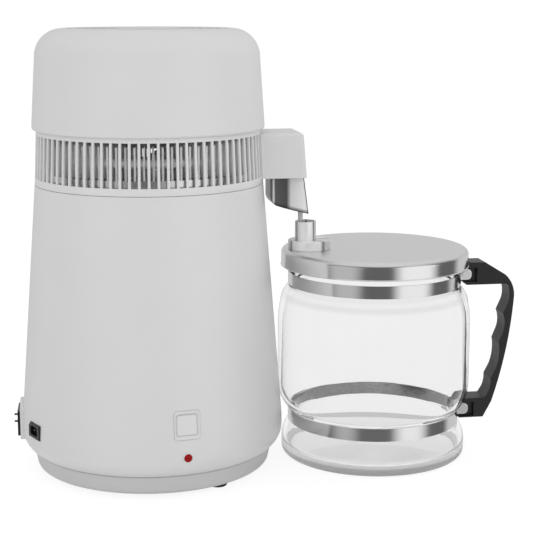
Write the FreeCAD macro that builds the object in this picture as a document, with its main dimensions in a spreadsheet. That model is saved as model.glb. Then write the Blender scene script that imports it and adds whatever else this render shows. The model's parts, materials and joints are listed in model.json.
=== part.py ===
"""Countertop water distiller: a boiler base, a lift-off condenser head with a fan, and a glass
collection jar with a filter cup in its lid.

Millimetres. +Z is up, Z = 0 is the table, the boiler's axis is the Z axis and the spout and the
jar lie on +X. Pieces of the head are built in a frame whose Z = 0 is the parting line between the
housing and the head; pieces of the jar and its lid are built round the jar's own axis.
"""
import FreeCAD, Part
import math
import os

import Sketcher

from FreeCAD import Vector

SIZES = [
    # shared clearances
    ("gap", 0.3, "clearance between pieces of bodies that part"),
    ("slack", 0.5, "clearance round a piece that drops into an opening"),
    ("fit", 0.05, "clearance of a shaft or a close seat"),
    # feet and plinth
    ("foot_h", 3.0, "height of a rubber foot"),
    ("foot_r", 8.0, "radius of a foot"),
    ("foot_inset", 13.0, "distance from the plinth's side to a foot's centre"),
    ("foot_azimuth", 302.6, "direction of the first foot, degrees from +X"),
    ("foot_bevel", 1.0, "bevel round a foot's lower edge"),
    ("plinth_h", 17.3, "height of the plinth under the housing"),
    ("plinth_step", 1.1, "step from the housing in to the plinth"),
    ("plinth_draft", 2.5, "how far the plinth draws in above its rounded lower edge"),
    ("plinth_edge_r", 5.5, "round of the plinth's lower edge"),
    ("plinth_floor", 3.0, "thickness of the plinth's floor"),
    ("plinth_wall", 2.6, "thickness of the plinth's wall"),
    ("tongue_h", 4.5, "height of the tongue that centres the housing"),
    ("tongue_t", 2.0, "thickness of the tongue"),
    ("base_vent_count", 16.0, "air slots in the plinth's floor"),
    ("base_vent_r", 56.0, "inner end of the air slots"),
    ("base_vent_l", 18.0, "length of an air slot"),
    ("base_vent_w", 4.0, "width of an air slot"),
    # housing
    ("housing_h", 231.4, "height of the housing from the plinth to the parting line"),
    ("housing_tuck", 8.4, "how far the housing tucks in from its widest down to the plinth"),
    ("housing_foot_h", 15.7, "height over which the housing swells to its widest"),
    ("housing_max_r", 115.0, "widest radius of the housing"),
    ("housing_blend_r", 200.0, "radius that blends the widest part into the tapered side"),
    ("housing_top_r", 98.6, "housing radius at the parting line"),
    ("housing_wall", 2.5, "thickness of the housing's wall"),
    ("pot_seat_drop", 3.7, "depth of the pot's seat below the housing's top edge"),
    ("pot_seat_t", 2.5, "thickness of the seat's ledge"),
    # boiling pot and heater
    ("pot_seat_w", 7.1, "width of the pot's seat inside the housing's mouth"),
    ("pot_depth", 186.0, "depth of the pot below its flange"),
    ("pot_t", 0.8, "steel thickness of the pot"),
    ("pot_corner_r", 9.0, "round between the pot's floor and wall"),
    ("heater_inset", 8.0, "inset of the heater plate from the pot's flat floor"),
    ("heater_t", 6.0, "thickness of the heater plate"),
    ("element_inset", 20.0, "inset of the element's ring from the heater plate's edge"),
    ("element_tube_r", 4.0, "radius of the heating element's tube"),
    ("element_sweep", 310.0, "degrees that the element runs round"),
    ("element_pin_turn", 3.0, "degrees from the element's ends to its pins"),
    ("element_pin_r", 2.2, "radius of the element's pins"),
    ("element_pin_l", 16.0, "length of the element's pins"),
    ("post_count", 3.0, "posts under the heater plate"),
    ("post_inset", 8.0, "inset of the posts from the heater plate's edge"),
    ("post_r", 4.5, "radius of a post"),
    ("thermostat_r", 9.0, "radius of the thermostat's body"),
    ("thermostat_h", 9.0, "height of the thermostat's body"),
    ("thermostat_x", 18.0, "place of the thermostat from the axis"),
    ("terminal_w", 6.3, "width of a thermostat's tab"),
    ("terminal_l", 8.0, "length of a thermostat's tab"),
    ("terminal_t", 0.8, "thickness of a thermostat's tab"),
    # push button and lamp
    ("panel_azimuth", 279.75, "direction of the button and the lamp"),
    ("button_lift", 29.0, "height of the button's centre above the housing's widest part"),
    ("button_w", 17.0, "width and height of the button"),
    ("button_corner_r", 1.5, "round of the button's corners"),
    ("button_proud", 0.6, "how far the button stands out of its bezel's inner edge"),
    ("button_depth", 8.0, "depth of the button behind its face"),
    ("button_travel", 2.4, "stroke of the button"),
    ("button_edge_r", 0.7, "round of the button's front edges"),
    ("bezel_side", 2.2, "width of the bezel beside the button"),
    ("bezel_end", 3.2, "width of the bezel above and below the button"),
    ("bezel_corner_r", 3.0, "round of the bezel's corners"),
    ("bezel_t", 4.0, "depth of the bezel"),
    ("bezel_bevel", 1.6, "bevel from the bezel's rim down to the button"),
    ("bezel_proud", 0.5, "how far the bezel stands out of the housing"),
    ("switch_l", 11.0, "depth of the switch body behind the bezel"),
    ("switch_wall", 1.7, "wall of the switch body round the button"),
    ("switch_tab_l", 6.0, "length of a switch's tab"),
    ("lamp_lift", 1.6, "height of the lamp above the housing's widest part"),
    ("lamp_r", 3.5, "radius of the lamp's lens"),
    ("lamp_rim", 1.0, "width of the ring round the lens"),
    ("lamp_proud", 1.2, "how far the lens stands out of the housing"),
    ("lamp_l", 12.0, "length of the lamp's body"),
    ("lamp_seat", 2.0, "depth of the lens in its holder"),
    # sockets on the housing
    ("inlet_azimuth", 178.0, "direction of the power inlet"),
    ("inlet_lift", 6.5, "height of the power inlet above the housing's widest part"),
    ("inlet_side", 2.7, "wall of the power inlet beside its well"),
    ("inlet_end", 3.7, "wall of the power inlet above and below its well"),
    ("inlet_proud", 4.0, "how far the power inlet stands out of the housing"),
    ("inlet_l", 24.0, "length of the power inlet"),
    ("inlet_well_w", 22.6, "width of the inlet's well"),
    ("inlet_well_h", 14.6, "height of the inlet's well"),
    ("inlet_well_l", 15.0, "depth of the inlet's well"),
    ("inlet_well_cut", 4.0, "cut corners of the inlet's well"),
    ("inlet_pin_pitch", 7.0, "sideways place of the live and neutral pins"),
    ("inlet_pin_w", 2.0, "thickness of a pin"),
    ("inlet_pin_h", 4.0, "height of a pin"),
    ("inlet_pin_l", 12.0, "length of a pin above the well's floor"),
    ("clip_w", 2.0, "width of an inlet's latch"),
    ("clip_t", 1.2, "thickness of an inlet's latch"),
    ("clip_proud", 2.6, "how far a latch stands out of the inlet's face"),
    ("clip_y", 12.7, "sideways place of the latches"),
    ("clip_z", 8.3, "height of the upper latch above the inlet's centre"),
    ("clip_pitch", 6.3, "distance between the two latches"),
    ("boss_margin", 4.0, "width of the housing's boss round the power inlet"),
    ("boss_crown", 8.0, "extra height of the boss above the inlet"),
    ("boss_proud", 1.6, "how far the boss stands out of the housing"),
    ("outlet_azimuth", 204.3, "direction of the fan's socket"),
    ("outlet_lift", 10.5, "height of the fan's socket above the housing's widest part"),
    ("outlet_side", 3.75, "wall of the fan's socket beside its well"),
    ("outlet_end", 2.3, "wall of the fan's socket above and below its well"),
    ("outlet_cut", 3.0, "cut corner of the fan's socket"),
    ("outlet_l", 18.0, "length of the fan's socket"),
    ("outlet_proud", 0.8, "how far the fan's socket stands out of the housing"),
    ("outlet_well_w", 13.0, "width of the socket's well"),
    ("outlet_well_h", 8.0, "height of the socket's well"),
    ("outlet_well_l", 9.0, "depth of the socket's well"),
    ("outlet_pin_pitch", 6.0, "distance between the socket's two pins"),
    ("outlet_pin_r", 1.0, "radius of a socket's pin"),
    ("outlet_pin_l", 7.0, "length of a socket's pin"),
    # head: seal, pan, vent ring, cover
    ("seal_h", 5.4, "height of the head's seal"),
    ("seal_w", 4.0, "width of the seal"),
    ("seal_groove", 1.2, "depth of the groove round the seal"),
    ("pan_overlap", 1.5, "how far the pan reaches past the seal"),
    ("pan_t", 0.8, "steel thickness of the pan"),
    ("pan_rim_h", 9.7, "height of the pan's rim"),
    ("pan_dome_inset", 3.2, "distance from the pot's wall to the start of the pan's dome"),
    ("pan_dome_h", 6.0, "rise of the pan's dome"),
    ("vent_inset", 0.1, "step from the housing in to the vent ring"),
    ("vent_top_r", 96.3, "vent ring radius under the cover"),
    ("vent_h", 46.6, "height of the vent ring below the cover"),
    ("vent_wall", 2.4, "wall of the vent ring"),
    ("vent_tongue_h", 7.4, "height of the tongue inside the cover"),
    ("vent_tongue_t", 2.4, "thickness of that tongue"),
    ("vent_shoulder", 0.9, "width of the shoulder that carries the cover"),
    ("slot_pitch", 4.61538, "degrees between slots, 78 round the full ring"),
    ("slot_count", 71.0, "slots cut, those behind the spout left out"),
    ("slot_w", 5.2, "width of a slot"),
    ("slot_low", 6.2, "height where the slots start"),
    ("slot_h", 36.3, "height of a slot"),
    ("cover_h", 85.0, "height of the head's cover"),
    ("cover_overhang", 3.5, "how far the cover's lower edge stands out past the vent ring"),
    ("cover_side_h", 61.0, "height where the cover's side meets its top round"),
    ("cover_draw_in", 3.8, "how far the cover's side draws in up to its top round"),
    ("cover_lip_r", 1.8, "round of the cover's lower edge"),
    ("cover_skirt_h", 4.4, "height of the straight lower band of the cover"),
    ("cover_wall", 2.5, "wall of the cover"),
    ("grille_rings", 6.0, "rings of slots in the top"),
    ("grille_margin", 2.0, "distance from the outermost slots to the cover's top round"),
    ("grille_pitch", 7.4, "radial distance between rings"),
    ("grille_slot_w", 3.8, "width of a grille slot"),
    ("grille_rib_w", 6.0, "width of the ribs between slots"),
    ("grille_spokes", 6.0, "ribs round the grille"),
    # condenser
    ("coil_inset", 14.0, "distance from the pan's rim to the middle of the coil"),
    ("coil_z", 24.5, "height of the coil above the parting line"),
    ("coil_tube_r", 4.0, "outer radius of the coil's tube"),
    ("coil_bore_r", 3.3, "bore of the coil's tube"),
    ("coil_open", 14.0, "degrees from +X where the coil's turn starts and ends"),
    ("coil_inlet_bend", 20.0, "bend radius where steam enters the coil"),
    ("coil_inlet_start", 30.0, "distance from the axis where the coil's inlet starts"),
    ("coil_drop_bend", 9.0, "bend radius where the outlet turns down"),
    ("coil_drop_inset", 12.3, "distance from the coil's drop to the drip tube"),
    ("coil_drop_l", 20.0, "length of the drop below the coil"),
    ("riser_bend", 12.0, "bend radius of the steam pipe"),
    ("sleeve_r", 6.0, "outer radius of the sleeve that joins steam pipe and coil"),
    ("sleeve_l", 14.0, "length of that sleeve"),
    ("fin_t", 0.6, "thickness of a fin"),
    ("fin_inset", 12.0, "distance from the middle of the coil to the fins' inner edge"),
    ("fin_h", 27.1, "height of a fin"),
    # fan
    ("deck_t", 2.0, "thickness of the fan's deck"),
    ("deck_inset", 9.0, "distance from the middle of the coil to the deck's air opening"),
    ("deck_hub_r", 30.0, "radius of the deck's hub"),
    ("deck_arm_w", 9.0, "width of a deck's arm"),
    ("motor_r", 24.0, "radius of the fan's motor"),
    ("motor_h", 24.0, "height of the fan's motor"),
    ("motor_edge_r", 2.0, "round of the motor's upper edge"),
    ("shaft_r", 3.0, "radius of the fan's shaft"),
    ("shaft_l", 24.0, "length of the fan's shaft"),
    ("shaft_in", 6.0, "length of the shaft inside the motor"),
    ("hub_r", 20.0, "radius of the fan's hub"),
    ("hub_h", 15.0, "height of the fan's hub"),
    ("hub_lift", 4.0, "distance between the motor and the hub"),
    ("hub_wall", 2.0, "wall of the fan's hub"),
    ("hub_boss_r", 6.0, "radius of the boss on the shaft"),
    ("blade_count", 6.0, "blades of the fan"),
    ("blade_clear", 4.0, "clearance between the blades' tips and the deck's opening"),
    ("blade_root_chord", 16.0, "width of a blade at the hub"),
    ("blade_tip_chord", 34.0, "width of a blade at its tip"),
    ("blade_root_pitch", 36.0, "pitch of a blade at the hub, degrees"),
    ("blade_tip_pitch", 20.0, "pitch of a blade at its tip, degrees"),
    ("blade_t", 1.8, "thickness of a blade"),
    # fan inlet on the back of the head
    ("fan_inlet_azimuth", 150.0, "direction of the fan inlet on the cover"),
    ("fan_inlet_proud", 2.0, "how far the fan inlet stands out of the cover"),
    ("fan_inlet_l", 16.0, "length of the fan inlet"),
    # spout
    ("spout_w", 50.0, "width of the spout's housing"),
    ("spout_low_z", 3.5, "height of the spout's open lower edge"),
    ("spout_top_z", 42.5, "height of the spout's top"),
    ("spout_lip", 1.4, "distance from the drip tube to the spout's front at its lower edge"),
    ("spout_lean", 2.7, "how far the spout's front leans back up to its top"),
    ("spout_nose_r", 3.5, "round of the spout's top edges"),
    ("spout_wall", 2.4, "wall of the spout's housing"),
    ("chute_w", 28.0, "width of the steel chute"),
    ("chute_t", 1.0, "steel thickness of the chute"),
    ("chute_back_gap", 5.5, "distance from the vent ring to the chute's back"),
    ("chute_back_z", -14.0, "height where the chute's back turns under"),
    ("chute_heel_r", 9.0, "round of the chute's heel"),
    ("chute_heel_run", 6.6, "length of the heel"),
    ("chute_heel_z", -22.2, "height of the heel's end"),
    ("chute_belly_r", 250.0, "curve of the chute's belly"),
    ("chute_tip_reach", 4.7, "distance from the drip tube to the chute's lowest front point"),
    ("chute_tip_z", -29.5, "height of that point"),
    ("chute_front_reach", 0.5, "distance from the drip tube to the chute's front under the spout"),
    ("chute_rim_z", 10.0, "height of the chute's flange inside the spout"),
    ("drip_r", 2.2, "outer radius of the drip tube"),
    ("drip_bore_r", 1.5, "bore of the drip tube"),
    ("drip_in", 3.0, "length of the drip tube above the chute's belly"),
    ("drip_gap", 0.7, "clearance between the drip tube and the filter cup's rim"),
    ("drip_clear", 1.35, "clearance between the drip tube and the inside of the filter cup"),
    # jar
    ("jar_gap", 1.0, "clearance between the housing and the jar's body"),
    ("foot_flare", 6.5, "how far the jar's foot stands out past the waist"),
    ("jar_foot_round", 6.3, "round of the foot's lower edge"),
    ("jar_foot_top", 14.0, "height where the foot starts to narrow"),
    ("waist_inset", 0.2, "how much narrower the waist is than the neck"),
    ("foot_slope_h", 17.0, "height of the slope from the foot up to the waist"),
    ("waist_band_h", 11.5, "height of the waist band"),
    ("body_swell", 9.85, "how far the jar's body stands out past its neck"),
    ("body_slope_h", 23.4, "height of the curve from the waist up to the straight body"),
    ("cup_clear", 8.2, "clearance between the chute and the filter cup, which sets the jar's height"),
    ("shoulder_x", 2.2, "inset of the shoulder where it turns in"),
    ("shoulder_h", 20.4, "height of the shoulder's easy curve"),
    ("shoulder_r", 24.0, "round of the shoulder above that"),
    ("jar_neck_r", 77.0, "radius of the neck"),
    ("shoulder_turn_h", 14.6, "height of the shoulder's round up to the neck"),
    ("neck_h", 28.0, "height of the neck"),
    ("jar_wall", 4.0, "thickness of the glass"),
    ("jar_floor", 8.0, "thickness of the glass bottom"),
    ("neck_band_lift", 1.1, "distance between the foot of the neck and its band"),
    ("neck_band_h", 11.2, "height of the neck band"),
    ("band_t", 0.7, "thickness of a band"),
    ("ear_reach", 11.0, "reach of a band's ears past the band"),
    ("ear_r", 4.0, "round of an ear's corners"),
    # lid
    ("lid_rim_t", 4.4, "thickness of the gasket between the glass and the lid"),
    ("lid_overhang", 7.0, "how far the lid stands out past the neck"),
    ("lid_edge_r", 5.0, "round of the lid's edge"),
    ("lid_t", 0.8, "thickness of the lid"),
    ("lid_h", 15.7, "height of the lid"),
    ("lid_bead", 0.6, "bead round the lid's lower edge"),
    ("lid_hole_r", 5.0, "hole under the filter cup"),
    ("cup_inset", 20.7, "distance from the lid's edge to the cup's axis"),
    ("cup_r", 9.35, "outer radius of the filter cup"),
    ("cup_t", 1.2, "wall of the filter cup"),
    ("cup_h", 25.1, "height of the filter cup above the lid"),
    ("cup_drain_r", 1.2, "radius of a drain hole in the cup's floor"),
    ("cup_drain_count", 6.0, "drain holes in the cup's floor"),
    ("cup_drain_ring_r", 3.2, "radius of the ring of drain holes"),
    ("collar_wall", 9.35, "wall of the collar round the cup, measured from the collar's axis"),
    ("collar_h", 8.4, "height of the collar"),
    ("collar_offset", 3.5, "distance from the cup's axis to the collar's axis"),
    ("filter_drop", 7.9, "distance from the cup's rim down to the filter"),
    # handle: places out from the start of its arms, heights from the lower edges of the bands
    ("handle_w", 22.0, "width of the handle"),
    ("handle_nose_w", 15.0, "width of the handle's ends between the ears"),
    ("handle_standoff", 2.2, "distance from the neck to the start of the handle's arms"),
    ("arm_step", 1.0, "step of the upper arm's top behind the lid"),
    ("arm_drop", 3.6, "underside of the upper arm below the neck band"),
    ("arm_low_start", 4.3, "start of the upper arm's underside, clear of the shoulder"),
    ("arm_flat_x", 21.3, "end of the upper arm's flat top"),
    ("crown_x", 40.6, "end of the slope behind it"),
    ("crown_z", 5.0, "height of that point above the neck band's edge"),
    ("crown_r", 26.0, "round of the grip's top"),
    ("back_x", 49.3, "farthest point of the grip"),
    ("back_drop", 17.1, "height of that point below the neck band's edge"),
    ("back_r", 400.0, "curve of the grip's back"),
    ("heel_x", 30.6, "end of the grip's back"),
    ("heel_z", 12.3, "height of that point above the waist band's edge"),
    ("foot_arm_x", 22.9, "end of the lower arm's underside"),
    ("foot_arm_drop", 2.0, "underside of the lower arm below the waist band's edge"),
    ("foot_arm_top", 16.2, "top of the lower arm above the waist band's edge"),
    ("foot_arm_start", 5.3, "start of the lower arm's top, clear of the jar's body"),
    ("crook_x", 39.8, "inner corner under the upper arm"),
    ("crook_r", 4.5, "round of that corner"),
    ("grip_top_x", 43.7, "start of the uppermost facet"),
    ("grip_top_drop", 21.7, "height of that start below the neck band's edge"),
    ("peak_one_x", 39.4, "first finger ridge"),
    ("peak_one_z", 94.7, "height of the first finger ridge above the waist band's edge"),
    ("facet_one_x", 39.7, "start of the second facet"),
    ("facet_one_z", 77.0, "height of that start"),
    ("peak_two_x", 36.2, "second finger ridge"),
    ("peak_two_z", 68.3, "height of the second finger ridge"),
    ("facet_two_x", 34.2, "start of the third facet"),
    ("facet_two_z", 43.5, "height of that start"),
    ("peak_three_x", 29.5, "third finger ridge"),
    ("peak_three_z", 34.2, "height of the third finger ridge"),
    ("facet_three_x", 27.1, "start of the lowest facet"),
    ("facet_three_z", 21.0, "height of that start"),
    ("crotch_x", 24.0, "inner corner above the lower arm"),
    ("hollow_one_r", 24.0, "curve of the first finger hollow"),
    ("hollow_two_r", 48.0, "curve of the second finger hollow"),
    ("hollow_three_r", 24.0, "curve of the third finger hollow"),
    ("pocket_end", 13.8, "length of the recesses in the handle's ends"),
    ("pocket_margin", 0.8, "height of a recess above and below its ear"),
    ("bolt_r", 2.0, "radius of a handle bolt"),
    ("bolt_inset", 4.3, "distance from the start of the arms to a bolt"),
    ("bolt_head_r", 3.8, "radius of a bolt's head"),
    ("bolt_head_t", 1.8, "thickness of a bolt's head"),
]

doc = FreeCAD.newDocument("WaterDistiller")
sheet = doc.addObject("Spreadsheet::Sheet", "dim")
for row, (alias, size, note) in enumerate(SIZES, start=1):
    sheet.set(f"A{row}", alias)
    sheet.set(f"B{row}", str(size))
    sheet.setAlias(f"B{row}", alias)
    sheet.set(f"C{row}", note)
doc.recompute()

# Heights and radii that several pieces share, as expressions of the sheet's cells. The spout's
# height sets the jar's: its filter cup clears the chute, and its straight body fills the rest.
JOIN_Z = "(dim.foot_h + dim.plinth_h)"
WIDEST_Z = f"({JOIN_Z} + dim.housing_foot_h)"
HOUSING_TOP = f"({JOIN_Z} + dim.housing_h)"
HEAD_Z = f"({HOUSING_TOP} + dim.gap)"
CUP_TOP = f"({HEAD_Z} + dim.chute_tip_z - dim.cup_clear)"
LID_TOP_Z = f"({CUP_TOP} - dim.cup_h)"
LID_SKIRT_Z = f"({LID_TOP_Z} - dim.lid_h)"
JAR_H = f"({LID_TOP_Z} - dim.lid_t - dim.lid_rim_t)"
JAR_NECK_Z = f"({JAR_H} - dim.neck_h)"
NECK_BAND_Z = f"({JAR_NECK_Z} + dim.neck_band_lift)"
SHOULDER_Z = f"({JAR_NECK_Z} - dim.shoulder_turn_h)"
JAR_BODY_TOP = f"({SHOULDER_Z} - dim.shoulder_h)"
JAR_WAIST_Z = "(dim.jar_foot_top + dim.foot_slope_h)"
WAIST_TOP = f"({JAR_WAIST_Z} + dim.waist_band_h + 2 * dim.fit)"
JAR_BODY_LOW = f"({WAIST_TOP} + dim.body_slope_h)"
JAR_WAIST_R = "(dim.jar_neck_r - dim.waist_inset)"
JAR_FOOT_R = f"({JAR_WAIST_R} + dim.foot_flare)"
JAR_BODY_R = "(dim.jar_neck_r + dim.body_swell)"
LID_R = "(dim.jar_neck_r + dim.lid_overhang)"
HANDLE_START = "(dim.jar_neck_r + dim.handle_standoff)"
BOLT_X = f"({HANDLE_START} + dim.bolt_inset)"
UPPER_BOLT_Z = f"({NECK_BAND_Z} + dim.neck_band_h / 2)"
LOWER_BOLT_Z = f"({JAR_WAIST_Z} + dim.fit + dim.waist_band_h / 2)"

HOUSING_MAX_R = "dim.housing_max_r"
SEAT_Z = f"({HOUSING_TOP} - dim.pot_seat_drop)"
POT_Z = f"({SEAT_Z} - dim.pot_depth)"
HEATER_Z = f"({POT_Z} - dim.heater_t)"
FLARE = "(dim.housing_max_r - dim.housing_top_r)"
DRAFT = f"(atan({FLARE} / ({HOUSING_TOP} - {WIDEST_Z})) / 1deg)"
BLEND_R = f"({HOUSING_MAX_R} - dim.housing_blend_r * (1 - cos({DRAFT})))"
BLEND_Z = f"({WIDEST_Z} + dim.housing_blend_r * sin({DRAFT}))"
TAPER = f"(({BLEND_R} - dim.housing_top_r) / ({HOUSING_TOP} - {BLEND_Z}))"
HOUSING_FOOT_R = f"({HOUSING_MAX_R} - dim.housing_tuck)"
SWELL_R = "((dim.housing_tuck^2 + dim.housing_foot_h^2) / (2 * dim.housing_tuck))"
HOUSING_BORE = (
    f"({HOUSING_MAX_R} - {SWELL_R}"
    f" + sqrt(({SWELL_R} - dim.housing_wall)^2 - dim.housing_foot_h^2))"
)
HOUSING_MOUTH = "(dim.housing_top_r - dim.housing_wall)"
PLINTH_TOP_R = f"({HOUSING_FOOT_R} - dim.plinth_step)"
PLINTH_LOW_R = f"({PLINTH_TOP_R} - dim.plinth_draft)"
POT_R = f"({HOUSING_MOUTH} - dim.pot_seat_w)"
HEATER_R = f"({POT_R} - dim.pot_corner_r - dim.heater_inset)"
BUTTON_Z = f"({WIDEST_Z} + dim.button_lift)"
LAMP_Z = f"({WIDEST_Z} + dim.lamp_lift)"
INLET_Z = f"({WIDEST_Z} + dim.inlet_lift)"
OUTLET_Z = f"({WIDEST_Z} + dim.outlet_lift)"
PANEL_R = f"(dim.housing_top_r + {TAPER} * ({HOUSING_TOP} - {BUTTON_Z}))"
BUTTON_HOLE = "(dim.button_w + 2 * dim.gap)"
BUTTON_FACE = "(dim.bezel_proud - dim.bezel_bevel + dim.button_proud)"
BEZEL_W = f"({BUTTON_HOLE} + 2 * dim.bezel_side)"
BEZEL_H = f"({BUTTON_HOLE} + 2 * dim.bezel_end)"
INLET_W = "(dim.inlet_well_w + 2 * dim.inlet_side)"
INLET_H = "(dim.inlet_well_h + 2 * dim.inlet_end)"
OUTLET_W = "(dim.outlet_well_w + 2 * dim.outlet_side)"
OUTLET_H = "(dim.outlet_well_h + 2 * dim.outlet_end)"

JAR_X = (
    f"(dim.housing_top_r + {TAPER} * ({HOUSING_TOP} - {JAR_BODY_LOW}) + dim.jar_gap"
    f" + {JAR_BODY_R})"
)
CUP_X = f"(dim.cup_inset - {LID_R})"
DRIP_X = f"({JAR_X} + {CUP_X} - dim.cup_r + dim.cup_t + dim.drip_r + dim.drip_clear)"

PAN_Z = "(dim.pot_t + dim.seal_h - dim.pot_seat_drop - dim.gap)"
RIM_Z = f"({PAN_Z} + dim.pan_rim_h)"
SEAL_R = f"({POT_R} - dim.pot_t + dim.gap + dim.seal_w)"
PAN_R = f"({SEAL_R} + dim.pan_overlap)"
PAN_DOME_R = f"({POT_R} - dim.pot_t - dim.pan_dome_inset)"
VENT_LOW_R = "(dim.housing_top_r - dim.vent_inset)"
VENT_TOP_R = "dim.vent_top_r"
VENT_LEAN = f"(({VENT_LOW_R} - dim.vent_top_r) / dim.vent_h)"
SLOT_SWING = "(dim.slot_pitch * (dim.slot_count - 1))"
FIRST_SLOT = f"((360 - {SLOT_SWING}) / 2)"
DECK_Z = "(dim.vent_h + dim.vent_tongue_h)"
TONGUE_R = f"({VENT_TOP_R} - dim.vent_shoulder)"
MOTOR_TOP = f"({DECK_Z} + dim.deck_t + dim.motor_h)"
COVER_LOW_R = f"({VENT_TOP_R} + dim.cover_overhang)"
COVER_SIDE_R = f"({COVER_LOW_R} - dim.cover_draw_in)"
COVER_TOP = "(dim.vent_h + dim.cover_h)"
COVER_SIDE = "(dim.vent_h + dim.cover_side_h)"
COVER_ROUND = "(dim.cover_h - dim.cover_side_h)"
COVER_TAPER = "(dim.cover_draw_in / (dim.cover_side_h - dim.cover_skirt_h))"
GRILLE_R = f"({COVER_SIDE_R} - {COVER_ROUND} - dim.grille_margin)"
FAN_INLET_Z = f"({DECK_Z} + dim.deck_t + dim.gap + {OUTLET_H} / 2)"
FAN_INLET_R = f"({COVER_SIDE_R} + {COVER_TAPER} * ({COVER_SIDE} - {FAN_INLET_Z}))"
COIL_R = f"({PAN_R} - dim.coil_inset)"
COIL_DROP_X = f"({DRIP_X} - dim.coil_drop_inset)"
STEAM_AZIMUTH = (
    f"(asin(dim.coil_inlet_bend / ({COIL_R} - dim.coil_inlet_bend)) / 1deg - dim.coil_open)"
)
DECK_OPEN_R = f"({COIL_R} - dim.deck_inset)"
BLADE_TIP_R = f"({DECK_OPEN_R} - dim.blade_clear)"
HUB_Z = f"({MOTOR_TOP} + dim.hub_lift)"
BLADE_Z = f"({HUB_Z} + dim.hub_h / 2)"
SPOUT_LOW_X = f"({DRIP_X} + dim.spout_lip)"
SPOUT_TOP_X = f"({SPOUT_LOW_X} - dim.spout_lean)"
CHUTE_BACK_X = f"({VENT_LOW_R} + dim.chute_back_gap)"
CHUTE_NECK_Z = "(dim.spout_low_z - dim.gap)"
CHUTE_INSIDE_X = f"({SPOUT_TOP_X} - dim.spout_wall - dim.gap)"
RIGHT, LEFT = 1, -1

reader = doc.addObject("App::FeaturePython", "reader")


def number(expression):
    """The value of an expression of the sheet's cells."""
    value = reader.evalExpression(str(expression))
    return float(getattr(value, "Value", value))


def place(piece, x="0", y="0", z="0", yaw="0", pitch="0"):
    """Bind where a piece lies and how it is turned about Z (yaw) and then about Y (pitch)."""
    spot = f"create(<<vector>>; {x}; {y}; {z})"
    turn = f"create(<<rotation>>; {yaw}; {pitch}; 0)"
    piece.setExpression("Placement", f"create(<<placement>>; {spot}; {turn})")
    return piece


def new_body(label):
    body = doc.addObject("PartDesign::Body", label)
    body.Label = label
    return body


def origin_item(body, role):
    return next(item for item in body.Origin.OriginFeatures if item.Role == role)


def new_sketch(body, role, offset="0", turn="0", rise="0"):
    """A sketch on an origin plane, moved along its normal, raised in it and turned about Z.

    rise and turn suit the two upright planes, whose second axis is Z.
    """
    sketch = body.newObject("Sketcher::SketchObject", f"{body.Name}_sketch")
    sketch.AttachmentSupport = [(origin_item(body, role), "")]
    sketch.MapMode = "FlatFace"
    away = f"{offset} * sin({turn}); {rise}; {offset} * cos({turn})"
    spot = f"create(<<vector>>; {away})"
    spin = f"create(<<rotation>>; create(<<vector>>; 0; 1; 0); {turn})"
    sketch.setExpression("AttachmentOffset", f"create(<<placement>>; {spot}; {spin})")
    return sketch


def pin_vertex(sketch, side, end, x, y):
    """Bind one end of a side to its two coordinates."""
    for kind, expression, axis in (("DistanceX", x, -2), ("DistanceY", y, -1)):
        value = number(expression)
        if abs(value) < 1e-9:
            sketch.addConstraint(Sketcher.Constraint("PointOnObject", side, end, axis))
        elif value > 0:
            index = sketch.addConstraint(Sketcher.Constraint(kind, -1, 1, side, end, value))
            sketch.setExpression(f"Constraints[{index}]", str(expression))
        else:
            index = sketch.addConstraint(Sketcher.Constraint(kind, side, end, -1, 1, -value))
            sketch.setExpression(f"Constraints[{index}]", f"-({expression})")


def arc_between(start, end, radius, bulge):
    """The minor arc from start to end that bulges to the RIGHT or LEFT of the way from one to
    the other."""
    chord = end - start
    half = chord.Length / 2
    across = Vector(chord.y, -chord.x, 0).normalize() * bulge
    centre = (start + end) * 0.5 - across * math.sqrt(max(radius**2 - half**2, 0))
    first, last = (start, end) if bulge == RIGHT else (end, start)
    angles = [math.atan2(p.y - centre.y, p.x - centre.x) for p in (first, last)]
    return Part.ArcOfCircle(Part.Circle(centre, Vector(0, 0, 1), radius), *angles)


def add_side(sketch, start, end, corner):
    """One side of an outline: its number, its first end and its last end."""
    if len(corner) == 2:
        return sketch.addGeometry(Part.LineSegment(start, end)), 1, 2
    radius, bulge = corner[2:]
    side = sketch.addGeometry(arc_between(start, end, number(radius), bulge))
    index = sketch.addConstraint(Sketcher.Constraint("Radius", side, number(radius)))
    sketch.setExpression(f"Constraints[{index}]", str(radius))
    return (side, 1, 2) if bulge == RIGHT else (side, 2, 1)


def draw_path(sketch, corners, closed=False):
    """A chain of sides. (x, y) ends a straight side; (x, y, radius, bulge) ends an arc."""
    points = [Vector(number(c[0]), number(c[1]), 0) for c in corners]
    steps = range(0 if closed else 1, len(corners))
    sides = [add_side(sketch, points[n - 1], points[n], corners[n]) for n in steps]
    for (side, _, last), (after, first, _) in zip(sides, sides[1:] + sides[:closed]):
        sketch.addConstraint(Sketcher.Constraint("Coincident", side, last, after, first))
    for n, (side, _, last) in zip(steps, sides):
        pin_vertex(sketch, side, last, corners[n][0], corners[n][1])
    if not closed:
        pin_vertex(sketch, sides[0][0], sides[0][1], corners[0][0], corners[0][1])


def draw_loop(sketch, corners):
    """A closed chain of sides, as draw_path writes them."""
    draw_path(sketch, corners, closed=True)


def draw_circle(sketch, x, y, radius):
    """A circle with its centre and radius bound."""
    centre = Vector(number(x), number(y), 0)
    side = sketch.addGeometry(Part.Circle(centre, Vector(0, 0, 1), number(radius)))
    pin_vertex(sketch, side, 3, x, y)
    index = sketch.addConstraint(Sketcher.Constraint("Radius", side, number(radius)))
    sketch.setExpression(f"Constraints[{index}]", str(radius))


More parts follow.
